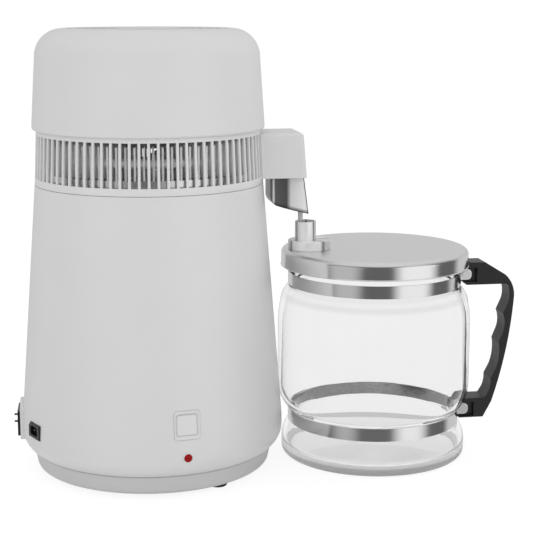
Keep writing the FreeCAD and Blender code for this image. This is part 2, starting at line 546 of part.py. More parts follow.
def draw_box(sketch, width, height, x="0", y="0"):
    """A rectangle round a centre."""
    low_x, high_x = f"({x} - ({width}) / 2)", f"({x} + ({width}) / 2)"
    low_y, high_y = f"({y} - ({height}) / 2)", f"({y} + ({height}) / 2)"
    draw_loop(sketch, [(low_x, low_y), (high_x, low_y), (high_x, high_y), (low_x, high_y)])


def draw_soft_box(sketch, width, height, corner):
    """A rectangle round the sketch's origin with rounded corners."""
    side_x, side_y = f"(({width}) / 2)", f"(({height}) / 2)"
    near_x, near_y = f"({side_x} - {corner})", f"({side_y} - {corner})"
    draw_loop(sketch, [
        (near_x, f"-{side_y}"), (side_x, f"-{near_y}", corner, RIGHT),
        (side_x, near_y), (near_x, side_y, corner, RIGHT),
        (f"-{near_x}", side_y), (f"-{side_x}", near_y, corner, RIGHT),
        (f"-{side_x}", f"-{near_y}"), (f"-{near_x}", f"-{side_y}", corner, RIGHT),
    ])


def revolve(body, corners, cut=False):
    """Turn a closed half section (radius, height) about the body's Z axis."""
    sketch = new_sketch(body, "XZ_Plane")
    draw_loop(sketch, corners)
    kind = "PartDesign::Groove" if cut else "PartDesign::Revolution"
    turned = body.newObject(kind, f"{body.Name}_turned")
    turned.Profile = sketch
    turned.ReferenceAxis = (sketch, ["V_Axis"])
    turned.Angle = 360
    return turned


def pad(body, sketch, length, both_ways=False, reverse=False):
    feature = body.newObject("PartDesign::Pad", f"{body.Name}_pad")
    feature.Profile = sketch
    feature.SideType = "Symmetric" if both_ways else "One side"
    feature.Reversed = reverse
    feature.setExpression("Length", str(length))
    return feature


def pocket(body, sketch, length, both_ways=False, reverse=False):
    """Cut a sketch out of the body; without reverse it cuts against the sketch's normal."""
    feature = body.newObject("PartDesign::Pocket", f"{body.Name}_pocket")
    feature.Profile = sketch
    feature.SideType = "Symmetric" if both_ways else "One side"
    feature.Reversed = reverse
    feature.setExpression("Length", str(length))
    return feature


def polar(body, feature, count, extent="360"):
    """Repeat a feature round the body's Z axis."""
    pattern = body.newObject("PartDesign::PolarPattern", f"{body.Name}_pattern")
    pattern.Originals = [feature]
    pattern.Axis = (origin_item(body, "Z_Axis"), [""])
    pattern.Mode = "Extent"
    pattern.setExpression("Angle", extent)
    pattern.setExpression("Occurrences", count)
    body.Tip = pattern
    return pattern


def round_edges(body, wanted, radius):
    """Fillet the edges of the body's tip that a test of two end points picks."""
    doc.recompute()
    base = body.Tip
    names = []
    for index, edge in enumerate(base.Shape.Edges, start=1):
        ends = [vertex.Point for vertex in edge.Vertexes]
        if len(ends) == 2 and wanted(*ends):
            names.append(f"Edge{index}")
    fillet = body.newObject("PartDesign::Fillet", f"{body.Name}_fillet")
    fillet.Base = (base, names)
    fillet.setExpression("Radius", str(radius))
    return fillet


def tube_along(body, spine, start_role, outer, bore, **start):
    """Sweep a ring section along a spine sketch."""
    section = new_sketch(body, start_role, **start)
    draw_circle(section, "0", "0", outer)
    draw_circle(section, "0", "0", bore)
    pipe = body.newObject("PartDesign::AdditivePipe", f"{body.Name}_pipe")
    pipe.Profile = section
    pipe.Spine = (spine, [f"Edge{n}" for n in range(1, spine.GeometryCount + 1)])
    return pipe


def around(radius, azimuth):
    """The two coordinates of a point on a circle round Z, as place's x and y."""
    return {"x": f"{radius} * cos({azimuth})", "y": f"{radius} * sin({azimuth})"}


# Base: feet, plinth, housing.

def make_foot(index):
    body = new_body(f"foot_{index + 1}")
    revolve(body, [
        ("0", "0"), ("dim.foot_r - dim.foot_bevel", "0"), ("dim.foot_r", "dim.foot_bevel"),
        ("dim.foot_r", "dim.foot_h"), ("0", "dim.foot_h"),
    ])
    return place(body, **around(f"({PLINTH_LOW_R} - dim.foot_inset)", f"(dim.foot_azimuth + {120 * index})"))


def make_plinth():
    body = new_body("plinth")
    floor_z = "(dim.foot_h + dim.plinth_floor)"
    tongue_r = f"({HOUSING_BORE} - dim.slack)"
    tongue_z = f"({JOIN_Z} + dim.tongue_h)"
    inner_r = f"({PLINTH_LOW_R} - dim.plinth_wall)"
    revolve(body, [
        ("0", "dim.foot_h"), (f"{PLINTH_LOW_R} - dim.plinth_edge_r", "dim.foot_h"),
        (PLINTH_LOW_R, "dim.foot_h + dim.plinth_edge_r", "dim.plinth_edge_r", RIGHT),
        (PLINTH_TOP_R, JOIN_Z), (tongue_r, JOIN_Z), (tongue_r, tongue_z),
        (f"{tongue_r} - dim.tongue_t", tongue_z),
        (f"{tongue_r} - dim.tongue_t", "dim.foot_h + dim.plinth_edge_r"),
        (f"{tongue_r} - dim.tongue_t - 2", floor_z), ("0", floor_z),
    ])
    slots = new_sketch(body, "XY_Plane", offset="dim.foot_h")
    draw_box(slots, "dim.base_vent_l", "dim.base_vent_w", x="(dim.base_vent_r + dim.base_vent_l / 2)")
    polar(body, pocket(body, slots, "dim.plinth_floor * 2", reverse=True), "dim.base_vent_count")
    return body


def cut_panel(body, azimuth, height, draw, reach=f"{HOUSING_MAX_R} + dim.boss_proud + 1"):
    """Cut an opening through the wall at an azimuth and a height."""
    sketch = new_sketch(body, "YZ_Plane", turn=azimuth, rise=height)
    draw(sketch)
    return pocket(body, sketch, reach, reverse=True)


def make_housing():
    body = new_body("housing")
    ledge_low = f"({SEAT_Z} - dim.pot_seat_t)"
    ledge_bore = f"({POT_R} + dim.slack)"
    gusset_z = f"({ledge_low} - ({HOUSING_MOUTH} - {ledge_bore}))"
    revolve(body, [
        (HOUSING_FOOT_R, JOIN_Z),
        (HOUSING_MAX_R, WIDEST_Z, SWELL_R, RIGHT),
        (BLEND_R, BLEND_Z, "dim.housing_blend_r", RIGHT),
        ("dim.housing_top_r", HOUSING_TOP),
        (HOUSING_MOUTH, HOUSING_TOP),
        (f"{HOUSING_MOUTH} + {TAPER} * dim.pot_seat_drop", SEAT_Z),
        (ledge_bore, SEAT_Z),
        (ledge_bore, ledge_low),
        (f"{HOUSING_MOUTH} + {TAPER} * ({HOUSING_TOP} - {gusset_z})", gusset_z),
        (f"{BLEND_R} - dim.housing_wall", BLEND_Z),
        (f"{HOUSING_MAX_R} - dim.housing_wall", WIDEST_Z,
         "dim.housing_blend_r - dim.housing_wall", LEFT),
        (HOUSING_BORE, JOIN_Z, f"({SWELL_R} - dim.housing_wall)", LEFT),
    ])
    half = f"({INLET_W} / 2 + dim.boss_margin)"
    side_z = f"({INLET_H} / 2 + dim.boss_margin / 2)"
    rise = "(dim.boss_crown - dim.boss_margin / 2)"
    boss = new_sketch(body, "YZ_Plane", turn="dim.inlet_azimuth", rise=INLET_Z,
                      offset=f"({HOUSING_MAX_R} - 3 * dim.housing_wall)")
    draw_loop(boss, [
        (f"-{half}", f"-{side_z}"), (half, f"-{side_z}"), (half, side_z),
        (f"-{half}", side_z, f"(({half}^2 + {rise}^2) / (2 * {rise}))", RIGHT),
    ])
    pad(body, boss, "3 * dim.housing_wall + dim.boss_proud")
    cut_panel(body, "dim.inlet_azimuth", INLET_Z, lambda sketch: draw_box(
        sketch, f"{INLET_W} + 2 * dim.gap", f"{INLET_H} + 2 * dim.gap"))
    cut_panel(body, "dim.outlet_azimuth", OUTLET_Z, lambda sketch: draw_box(
        sketch, f"{OUTLET_W} + 2 * dim.gap", f"{OUTLET_H} + 2 * dim.gap"))
    cut_panel(body, "dim.panel_azimuth", BUTTON_Z, lambda sketch: draw_soft_box(
        sketch, f"{BEZEL_W} + 2 * dim.gap", f"{BEZEL_H} + 2 * dim.gap", "dim.bezel_corner_r"))
    cut_panel(body, "dim.panel_azimuth", LAMP_Z, lambda sketch: draw_circle(
        sketch, "0", "0", "dim.lamp_r + dim.lamp_rim + dim.fit"))
    return body


# Base: pot and heater.

def make_pot():
    body = new_body("boiling_pot")
    inner = f"({POT_R} - dim.pot_t)"
    corner = "(dim.pot_corner_r - dim.pot_t)"
    flange = f"({HOUSING_MOUTH} - dim.slack)"
    revolve(body, [
        ("0", POT_Z), (f"{POT_R} - dim.pot_corner_r", POT_Z),
        (POT_R, f"{POT_Z} + dim.pot_corner_r", "dim.pot_corner_r", RIGHT),
        (POT_R, SEAT_Z), (flange, SEAT_Z), (flange, f"{SEAT_Z} + dim.pot_t"),
        (inner, f"{SEAT_Z} + dim.pot_t"), (inner, f"{POT_Z} + dim.pot_corner_r"),
        (f"{POT_R} - dim.pot_corner_r", f"{POT_Z} + dim.pot_t", corner, LEFT),
        ("0", f"{POT_Z} + dim.pot_t"),
    ])
    return body


def make_heater_plate():
    body = new_body("heater_plate")
    revolve(body, [("0", HEATER_Z), (HEATER_R, HEATER_Z), (HEATER_R, POT_Z), ("0", POT_Z)])
    return body


def make_heating_element():
    body = new_body("heating_element")
    centre_z = f"({HEATER_Z} - dim.element_tube_r)"
    ring = new_sketch(body, "XZ_Plane")
    draw_circle(ring, f"({HEATER_R} - dim.element_inset)", centre_z, "dim.element_tube_r")
    turned = body.newObject("PartDesign::Revolution", "element_ring")
    turned.Profile = ring
    turned.ReferenceAxis = (ring, ["V_Axis"])
    turned.setExpression("Angle", "dim.element_sweep")
    pins = new_sketch(body, "XY_Plane", offset=centre_z)
    for azimuth in ("dim.element_pin_turn", "(dim.element_sweep - dim.element_pin_turn)"):
        draw_circle(pins, f"({HEATER_R} - dim.element_inset) * cos({azimuth})",
                    f"({HEATER_R} - dim.element_inset) * sin({azimuth})", "dim.element_pin_r")
    pad(body, pins, "dim.element_pin_l", reverse=True)
    return body


def make_heater_posts():
    body = new_body("heater_posts")
    floor_z = "(dim.foot_h + dim.plinth_floor)"
    sketch = new_sketch(body, "XY_Plane", offset=floor_z)
    draw_circle(sketch, f"({HEATER_R} - dim.post_inset)", "0", "dim.post_r")
    polar(body, pad(body, sketch, f"{HEATER_Z} - {floor_z}"), "dim.post_count")
    return body


def make_thermostat(label, yaw):
    """A snap disc under the heater plate with its two tabs."""
    body = new_body(label)
    revolve(body, [
        ("0", "-dim.thermostat_h"), ("dim.thermostat_r * 0.8", "-dim.thermostat_h"),
        ("dim.thermostat_r * 0.8", "-dim.thermostat_h / 3"),
        ("dim.thermostat_r", "-dim.thermostat_h / 3"), ("dim.thermostat_r", "0"), ("0", "0"),
    ])
    tabs = new_sketch(body, "XY_Plane", offset="-dim.thermostat_h")
    for side in ("", "-"):
        draw_box(tabs, "dim.terminal_w", "dim.terminal_t", y=f"({side}dim.thermostat_r / 2)")
    pad(body, tabs, "dim.terminal_l", reverse=True)
    return place(body, **around("dim.thermostat_x", yaw), z=HEATER_Z, yaw=yaw)


# Base: button, lamp and sockets.

def on_panel(body):
    """Lay a piece on the housing's tapered side, its X axis pointing out of it."""
    spot = around(PANEL_R, "dim.panel_azimuth")
    return place(body, **spot, z=BUTTON_Z, yaw="dim.panel_azimuth", pitch=f"-{DRAFT}")


def front_edges(face_x, reach):
    """A test for edges in the plane x = face_x, no farther than reach from the X axis."""
    def wanted(start, end):
        return all(abs(p.x - face_x) < 1e-4 and max(abs(p.y), abs(p.z)) < reach for p in (start, end))
    return wanted


def make_bezel():
    body = new_body("button_bezel")
    back = "(dim.bezel_proud - dim.bezel_t)"
    hole = "(dim.button_w + 2 * dim.gap)"
    frame = new_sketch(body, "YZ_Plane", offset=back)
    draw_soft_box(frame, BEZEL_W, BEZEL_H, "dim.bezel_corner_r")
    draw_soft_box(frame, hole, hole, "(dim.button_corner_r + dim.gap)")
    pad(body, frame, "dim.bezel_t")
    doc.recompute()
    reach = number(f"{hole} / 2") + 0.1
    test = front_edges(number("dim.bezel_proud"), reach)
    base = body.Tip
    names = [f"Edge{n}" for n, edge in enumerate(base.Shape.Edges, start=1)
             if test(*[vertex.Point for vertex in edge.Vertexes])]
    bevel = body.newObject("PartDesign::Chamfer", "bezel_bevel")
    bevel.Base = (base, names)
    bevel.setExpression("Size", "dim.bezel_bevel")
    return on_panel(body)


def make_button():
    body = new_body("button")
    sketch = new_sketch(body, "YZ_Plane", offset=f"({BUTTON_FACE} - dim.button_depth)")
    draw_soft_box(sketch, "dim.button_w", "dim.button_w", "dim.button_corner_r")
    pad(body, sketch, "dim.button_depth")
    round_edges(body, front_edges(number(BUTTON_FACE), number("dim.button_w")), "dim.button_edge_r")
    return on_panel(body)


def make_switch():
    body = new_body("switch_body")
    back = "(dim.bezel_proud - dim.bezel_t)"
    block = new_sketch(body, "YZ_Plane", offset=back)
    draw_box(block, f"({BUTTON_HOLE} + 2 * dim.switch_wall)", f"({BUTTON_HOLE} + 2 * dim.switch_wall)")
    pad(body, block, "dim.switch_l", reverse=True)
    well = new_sketch(body, "YZ_Plane", offset=back)
    draw_box(well, "dim.button_w + 2 * dim.gap", "dim.button_w + 2 * dim.gap")
    stroke = f"({back} - {BUTTON_FACE} + dim.button_depth + dim.button_travel + dim.slack)"
    pocket(body, well, stroke)
    tabs = new_sketch(body, "YZ_Plane", offset=f"({back} - dim.switch_l)")
    for side in ("", "-"):
        draw_box(tabs, "dim.terminal_t", "dim.terminal_w",
                 x=f"({side}({BUTTON_HOLE} + 2 * dim.switch_wall) / 4)")
    pad(body, tabs, "dim.switch_tab_l", reverse=True)
    return on_panel(body)


def make_lamp_holder():
    body = new_body("lamp_holder")
    seat, rim = "(dim.lamp_r + dim.fit)", "(dim.lamp_r + dim.lamp_rim)"
    revolve(body, [
        ("0", "-dim.lamp_l"), (rim, "-dim.lamp_l"), (rim, "dim.lamp_rim / 2"),
        (seat, "dim.lamp_rim / 2"), (seat, "-dim.lamp_seat"), ("0", "-dim.lamp_seat"),
    ])
    spot = around(HOUSING_MAX_R, "dim.panel_azimuth")
    return place(body, **spot, z=LAMP_Z, yaw="dim.panel_azimuth", pitch="90")


def make_lamp_lens():
    body = new_body("lamp_lens")
    dome = "(dim.lamp_proud - dim.lamp_rim / 2)"
    revolve(body, [
        ("0", "-dim.lamp_seat"), ("dim.lamp_r", "-dim.lamp_seat"), ("dim.lamp_r", "dim.lamp_rim / 2"),
        ("0", "dim.lamp_proud", f"((dim.lamp_r^2 + {dome}^2) / (2 * {dome}))", RIGHT),
    ])
    spot = around(HOUSING_MAX_R, "dim.panel_azimuth")
    return place(body, **spot, z=LAMP_Z, yaw="dim.panel_azimuth", pitch="90")


def make_power_inlet():
    """The inlet block with its well and two latches; its X axis points out of the housing."""
    body = new_body("power_inlet")
    face = f"({HOUSING_MAX_R} + dim.inlet_proud)"
    block = new_sketch(body, "YZ_Plane", offset=face)
    draw_box(block, INLET_W, INLET_H)
    pad(body, block, "dim.inlet_l", reverse=True)
    latches = new_sketch(body, "YZ_Plane", offset=face)
    for height in ("dim.clip_z", "(dim.clip_z - dim.clip_pitch)"):
        draw_box(latches, "dim.clip_w", "dim.clip_t", x="dim.clip_y", y=height)
    pad(body, latches, "dim.clip_proud")
    half_w, half_h = "(dim.inlet_well_w / 2)", "(dim.inlet_well_h / 2)"
    cut = "dim.inlet_well_cut"
    well = new_sketch(body, "YZ_Plane", offset=face)
    draw_loop(well, [
        (f"-{half_w}", f"-{half_h}"), (half_w, f"-{half_h}"), (half_w, f"{half_h} - {cut}"),
        (f"{half_w} - {cut}", half_h), (f"-{half_w} + {cut}", half_h),
        (f"-{half_w}", f"{half_h} - {cut}"),
    ])
    pocket(body, well, "dim.inlet_well_l")
    return place(body, z=INLET_Z, yaw="dim.inlet_azimuth")


def make_inlet_pins():
    body = new_body("inlet_pins")
    floor_x = f"({HOUSING_MAX_R} + dim.inlet_proud - dim.inlet_well_l)"
    pins = new_sketch(body, "YZ_Plane", offset=floor_x)
    for x, y in (("dim.inlet_pin_pitch", "-dim.inlet_pin_w"), ("-dim.inlet_pin_pitch", "-dim.inlet_pin_w"),
                 ("0", "dim.inlet_pin_w")):
        draw_box(pins, "dim.inlet_pin_w", "dim.inlet_pin_h", x=f"({x})", y=f"({y})")
    pad(body, pins, "dim.inlet_pin_l")
    return place(body, z=INLET_Z, yaw="dim.inlet_azimuth")


def make_fan_socket(label, face, length):
    """A small two-pin socket block with one cut corner and a well."""
    body = new_body(label)
    half_w, half_h = f"({OUTLET_W} / 2)", f"({OUTLET_H} / 2)"
    block = new_sketch(body, "YZ_Plane", offset=face)
    draw_loop(block, [
        (f"-{half_w}", f"-{half_h}"), (half_w, f"-{half_h}"), (half_w, half_h),
        (f"-{half_w} + dim.outlet_cut", half_h), (f"-{half_w}", f"{half_h} - dim.outlet_cut"),
    ])
    pad(body, block, length, reverse=True)
    well = new_sketch(body, "YZ_Plane", offset=face)
    draw_soft_box(well, "dim.outlet_well_w", "dim.outlet_well_h", "(dim.outlet_well_h / 4)")
    pocket(body, well, "dim.outlet_well_l")
    return body


def make_socket_pins(label, face):
    body = new_body(label)
    pins = new_sketch(body, "YZ_Plane", offset=f"({face} - dim.outlet_well_l)")
    for side in ("", "-"):
        draw_circle(pins, f"({side}dim.outlet_pin_pitch / 2)", "0", "dim.outlet_pin_r")
    pad(body, pins, "dim.outlet_pin_l")
    return body


OUTLET_FACE = f"({HOUSING_MAX_R} + dim.outlet_proud)"
FAN_INLET_FACE = f"({FAN_INLET_R} + dim.fan_inlet_proud)"


def make_sockets():
    """The fan's socket on the housing and the fan's inlet on the back of the head's cover."""
    outlet = make_fan_socket("fan_socket", OUTLET_FACE, "dim.outlet_l")
    outlet_pins = make_socket_pins("fan_socket_pins", OUTLET_FACE)
    for piece in (outlet, outlet_pins):
        place(piece, z=OUTLET_Z, yaw="dim.outlet_azimuth")
    inlet = make_fan_socket("fan_inlet", FAN_INLET_FACE, "dim.fan_inlet_l")
    inlet_pins = make_socket_pins("fan_inlet_pins", FAN_INLET_FACE)
    for piece in (inlet, inlet_pins):
        place(piece, z=f"{HEAD_Z} + {FAN_INLET_Z}", yaw="dim.fan_inlet_azimuth")
    return [outlet, outlet_pins, inlet, inlet_pins]


# Head: seal, pan, vent ring and cover.

def make_seal():
    body = new_body("head_seal")
    outer, inner = SEAL_R, f"({SEAL_R} - dim.seal_w)"
    waist = f"({SEAL_R} - dim.seal_groove)"
    revolve(body, [
        (inner, "0"), (outer, "0"), (outer, "dim.seal_h * 0.3"), (waist, "dim.seal_h * 0.4"),
        (waist, "dim.seal_h * 0.6"), (outer, "dim.seal_h * 0.7"), (outer, "dim.seal_h"),
        (inner, "dim.seal_h"),
    ])
    return place(body, z=f"{SEAT_Z} + dim.pot_t")


def make_pan():
    """The steel pan that closes the pot, with its dome, steam neck and upright rim."""
    body = new_body("head_pan")
    neck_z = "(dim.coil_z - dim.riser_bend)"
    crown_z = f"({PAN_Z} + dim.pan_t + dim.pan_dome_h)"
    reach = f"({PAN_DOME_R} - dim.coil_tube_r)"
    dome_r = f"(({reach}^2 + dim.pan_dome_h^2) / (2 * dim.pan_dome_h))"
    revolve(body, [
        ("dim.coil_bore_r", f"{crown_z} - dim.pan_t", dome_r, RIGHT),
        ("dim.coil_bore_r", neck_z), ("dim.coil_tube_r", neck_z), ("dim.coil_tube_r", crown_z),
        (PAN_DOME_R, f"{PAN_Z} + dim.pan_t", dome_r, LEFT),
        (f"{PAN_R} - dim.pan_t", f"{PAN_Z} + dim.pan_t"), (f"{PAN_R} - dim.pan_t", RIM_Z),
        (PAN_R, RIM_Z), (PAN_R, PAN_Z), (PAN_DOME_R, PAN_Z),
    ])
    return place(body, z=HEAD_Z)


def make_vent_ring():
    body = new_body("vent_ring")
    tongue_inner = f"({TONGUE_R} - dim.vent_tongue_t)"
    revolve(body, [
        (VENT_LOW_R, "0"), (VENT_TOP_R, "dim.vent_h"), (TONGUE_R, "dim.vent_h"),
        (TONGUE_R, DECK_Z), (tongue_inner, DECK_Z),
        (f"({VENT_TOP_R} - dim.vent_wall)", "dim.vent_h"),
        (f"({VENT_LOW_R} - dim.vent_wall - {VENT_LEAN} * {PAN_Z})", PAN_Z),
        (f"({SEAL_R} + dim.gap)", PAN_Z), (f"({SEAL_R} + dim.gap)", "0"),
    ])
    outlet = new_sketch(body, "YZ_Plane", rise="dim.coil_z")
    draw_circle(outlet, "0", "0", "dim.coil_tube_r + 4 * dim.slack")
    pocket(body, outlet, VENT_LOW_R, reverse=True)
    slot = new_sketch(body, "YZ_Plane", turn=FIRST_SLOT,
                      offset=f"({VENT_TOP_R} - 2 * dim.vent_wall)")
    draw_box(slot, "dim.slot_w", "dim.slot_h", y="(dim.slot_low + dim.slot_h / 2)")
    cut = pocket(body, slot, f"{VENT_LOW_R} - {VENT_TOP_R} + 3 * dim.vent_wall", reverse=True)
    polar(body, cut, "dim.slot_count", extent=SLOT_SWING)
    return place(body, z=HEAD_Z)


def make_cover():
    body = new_body("head_cover")
    lip_r = f"({VENT_TOP_R} - dim.vent_shoulder + 4 * dim.fit)"
    skirt_z = "(dim.vent_h + dim.cover_skirt_h)"
    foot_x = f"({COVER_LOW_R} - dim.cover_lip_r)"
    foot_z = "(dim.vent_h + dim.cover_lip_r)"
    wall = "dim.cover_wall"
    revolve(body, [
        (lip_r, "dim.vent_h"), (foot_x, "dim.vent_h"),
        (COVER_LOW_R, foot_z, "dim.cover_lip_r", RIGHT), (COVER_LOW_R, skirt_z),
        (COVER_SIDE_R, COVER_SIDE),
        (f"{COVER_SIDE_R} - {COVER_ROUND}", COVER_TOP, COVER_ROUND, RIGHT),
        ("0", COVER_TOP), ("0", f"{COVER_TOP} - {wall}"),
        (f"{COVER_SIDE_R} - {COVER_ROUND}", f"{COVER_TOP} - {wall}"),
        (f"{COVER_SIDE_R} - {wall}", COVER_SIDE, f"({COVER_ROUND} - {wall})", LEFT),
        (f"{COVER_LOW_R} - {wall}", skirt_z),
        (f"{COVER_LOW_R} - {wall}", f"dim.vent_h + {wall}"), (lip_r, f"dim.vent_h + {wall}"),
    ])
    cut_panel(body, "dim.fan_inlet_azimuth", FAN_INLET_Z, lambda sketch: draw_box(
        sketch, f"{OUTLET_W} + 2 * dim.gap", f"{OUTLET_H} + 2 * dim.gap"))
    sector = "(360 / dim.grille_spokes)"
    slots = new_sketch(body, "XY_Plane", offset=COVER_TOP)
    for ring in range(int(number("dim.grille_rings"))):
        outer = f"({GRILLE_R} - {ring} * dim.grille_pitch)"
        inner = f"({outer} - dim.grille_slot_w)"
        out_turn = f"(asin(dim.grille_rib_w / 2 / {outer}) / 1deg)"
        in_turn = f"(asin(dim.grille_rib_w / 2 / {inner}) / 1deg)"
        draw_loop(slots, [
            (f"{inner} * cos({in_turn})", f"{inner} * sin({in_turn})", inner, LEFT),
            (f"{outer} * cos({out_turn})", f"{outer} * sin({out_turn})"),
            (f"{outer} * cos({sector} - {out_turn})", f"{outer} * sin({sector} - {out_turn})",
             outer, RIGHT),
            (f"{inner} * cos({sector} - {in_turn})", f"{inner} * sin({sector} - {in_turn})"),
        ])
    polar(body, pocket(body, slots, "2 * dim.cover_wall"), "dim.grille_spokes")
    return place(body, z=HEAD_Z)


# Head: condenser.

def make_steam_pipe():
    body = new_body("steam_pipe")
    neck_z = "(dim.coil_z - dim.riser_bend)"
    spine = new_sketch(body, "XZ_Plane")
    draw_path(spine, [
        ("0", neck_z), ("dim.riser_bend", "dim.coil_z", "dim.riser_bend", LEFT),
        ("dim.coil_inlet_start", "dim.coil_z"),
    ])
    tube_along(body, spine, "XY_Plane", "dim.coil_tube_r", "dim.coil_bore_r", offset=neck_z)
    return place(body, z=HEAD_Z, yaw=STEAM_AZIMUTH)


def make_steam_sleeve():
    """The silicone sleeve over the joint of steam pipe and coil."""
    body = new_body("steam_sleeve")
    bore = "(dim.coil_tube_r + dim.fit)"
    half = "(dim.sleeve_l / 2)"
    revolve(body, [(bore, f"-{half}"), ("dim.sleeve_r", f"-{half}"), ("dim.sleeve_r", half), (bore, half)])
    spot = around("dim.coil_inlet_start", STEAM_AZIMUTH)
    return place(body, **spot, z=f"{HEAD_Z} + dim.coil_z", yaw=STEAM_AZIMUTH, pitch="90")


def make_condenser():
    """The finned coil: one turn of tube, its inlet and outlet bends and the fins on it."""
    body = new_body("condenser_coil")
    run = f"sqrt(({COIL_R} - dim.coil_inlet_bend)^2 - dim.coil_inlet_bend^2)"
    end_x, end_y = f"{COIL_R} * cos(dim.coil_open)", f"{COIL_R} * sin(dim.coil_open)"
    outlet_bend = f"({COIL_R} * sin(dim.coil_open) / (1 - sin(dim.coil_open)))"
    drop_start = f"({COIL_DROP_X} - dim.coil_drop_bend)"
    start = around("dim.coil_inlet_start", STEAM_AZIMUTH)
    bend = around(run, STEAM_AZIMUTH)
    spine = new_sketch(body, "XY_Plane", offset="dim.coil_z")
    draw_path(spine, [
        (start["x"], start["y"]), (bend["x"], bend["y"]),
        (end_x, f"-{end_y}", "dim.coil_inlet_bend", LEFT),
        (f"-{COIL_R}", "0", COIL_R, LEFT), (end_x, end_y, COIL_R, LEFT),
        (f"{end_x} + {outlet_bend} * cos(dim.coil_open)", "0", outlet_bend, RIGHT),
        (drop_start, "0"),
    ])
    tube_along(body, spine, "YZ_Plane", "dim.coil_tube_r", "dim.coil_bore_r",
               turn=STEAM_AZIMUTH, offset="dim.coil_inlet_start", rise="dim.coil_z")
    drop = new_sketch(body, "XZ_Plane")
    draw_path(drop, [
        (drop_start, "dim.coil_z"),
        (COIL_DROP_X, "dim.coil_z - dim.coil_drop_bend", "dim.coil_drop_bend", LEFT),
        (COIL_DROP_X, "dim.coil_z - dim.coil_drop_bend - dim.coil_drop_l"),
    ])
    tube_along(body, drop, "YZ_Plane", "dim.coil_tube_r", "dim.coil_bore_r",
               offset=drop_start, rise="dim.coil_z")
    fin = new_sketch(body, "XZ_Plane", turn=FIRST_SLOT)
    fin_r = f"({PAN_R} - dim.gap)"
    draw_box(fin, f"{fin_r} - ({COIL_R} - dim.fin_inset)", "dim.fin_h",
             x=f"(({fin_r} + ({COIL_R} - dim.fin_inset)) / 2)", y=f"({RIM_Z} + dim.fin_h / 2)")
    draw_circle(fin, COIL_R, "dim.coil_z", "(dim.coil_tube_r + dim.coil_bore_r) / 2")
    plate = pad(body, fin, "dim.fin_t", both_ways=True)
    polar(body, plate, "dim.slot_count", extent=SLOT_SWING)
    return place(body, z=HEAD_Z)


# Head: fan.

def make_deck():
    body = new_body("fan_deck")
    disc = new_sketch(body, "XY_Plane", offset=DECK_Z)
    draw_circle(disc, "0", "0", TONGUE_R)
    pad(body, disc, "dim.deck_t")
    window = new_sketch(body, "XY_Plane", offset=f"({DECK_Z} + dim.deck_t)")
    side = "(dim.deck_arm_w / 2)"
    far = f"sqrt({DECK_OPEN_R}^2 - {side}^2)"
    near = f"sqrt(dim.deck_hub_r^2 - {side}^2)"
    draw_loop(window, [
        (near, side, "dim.deck_hub_r", LEFT), (far, side),
        (side, far, DECK_OPEN_R, RIGHT), (side, near),
    ])
    polar(body, pocket(body, window, "2 * dim.deck_t"), "4")
    return place(body, z=HEAD_Z)


def make_motor():
    body = new_body("fan_motor")
    low, bore = f"({DECK_Z} + dim.deck_t)", "(dim.shaft_r + dim.fit)"
    soft = "dim.motor_edge_r"
    well = f"({MOTOR_TOP} - dim.shaft_in - dim.gap)"
    revolve(body, [
        ("0", low), ("dim.motor_r", low), ("dim.motor_r", f"{MOTOR_TOP} - {soft}"),
        (f"dim.motor_r - {soft}", MOTOR_TOP, soft, RIGHT), (bore, MOTOR_TOP), (bore, well), ("0", well),
    ])
    return place(body, z=HEAD_Z)


def make_shaft():
    body = new_body("fan_shaft")
    low = f"({MOTOR_TOP} - dim.shaft_in)"
    high = f"({low} + dim.shaft_l)"
    revolve(body, [("0", low), ("dim.shaft_r", low), ("dim.shaft_r", high), ("0", high)])
    return place(body, z=HEAD_Z)


def blade_section(body, x, chord, pitch):
    """A flat blade's section in the plane at x, turned by the blade's pitch."""
    sketch = new_sketch(body, "YZ_Plane", offset=x)
    along = (f"({chord} / 2 * cos({pitch}))", f"({chord} / 2 * sin({pitch}))")
    across = (f"(dim.blade_t / 2 * sin({pitch}))", f"(dim.blade_t / 2 * cos({pitch}))")
    draw_loop(sketch, [
        (f"-{along[0]} + {across[0]}", f"{BLADE_Z} - {along[1]} - {across[1]}"),
        (f"{along[0]} + {across[0]}", f"{BLADE_Z} + {along[1]} - {across[1]}"),
        (f"{along[0]} - {across[0]}", f"{BLADE_Z} + {along[1]} + {across[1]}"),
        (f"-{along[0]} - {across[0]}", f"{BLADE_Z} - {along[1]} + {across[1]}"),
    ])
    return sketch


def make_rotor():
    body = new_body("fan_rotor")
    top = f"({HUB_Z} + dim.hub_h)"
    inner = "(dim.hub_r - dim.hub_wall)"
    revolve(body, [
        ("dim.shaft_r", HUB_Z), ("dim.hub_boss_r", HUB_Z), ("dim.hub_boss_r", f"{top} - dim.hub_wall"),
        (inner, f"{top} - dim.hub_wall"), (inner, HUB_Z), ("dim.hub_r", HUB_Z), ("dim.hub_r", top),
        ("dim.shaft_r", top),
    ])
    blade = body.newObject("PartDesign::AdditiveLoft", "rotor_blade")
    blade.Profile = blade_section(body, inner, "dim.blade_root_chord", "dim.blade_root_pitch")
    blade.Sections = [blade_section(body, BLADE_TIP_R, "dim.blade_tip_chord",
                                    "dim.blade_tip_pitch")]
    polar(body, blade, "dim.blade_count")
    return place(body, z=HEAD_Z)


# Head: spout.

def clear_vent_ring(body, slack):
    """Cut away what lies inside the vent ring's tapered outside."""
    low_r = f"({VENT_LOW_R} + {slack} + {VENT_LEAN} * dim.vent_h)"
    high_r = f"({VENT_TOP_R} + {slack})"
    revolve(body, [("0", "-dim.vent_h"), (low_r, "-dim.vent_h"), (high_r, "dim.vent_h"),
                   ("0", "dim.vent_h")], cut=True)


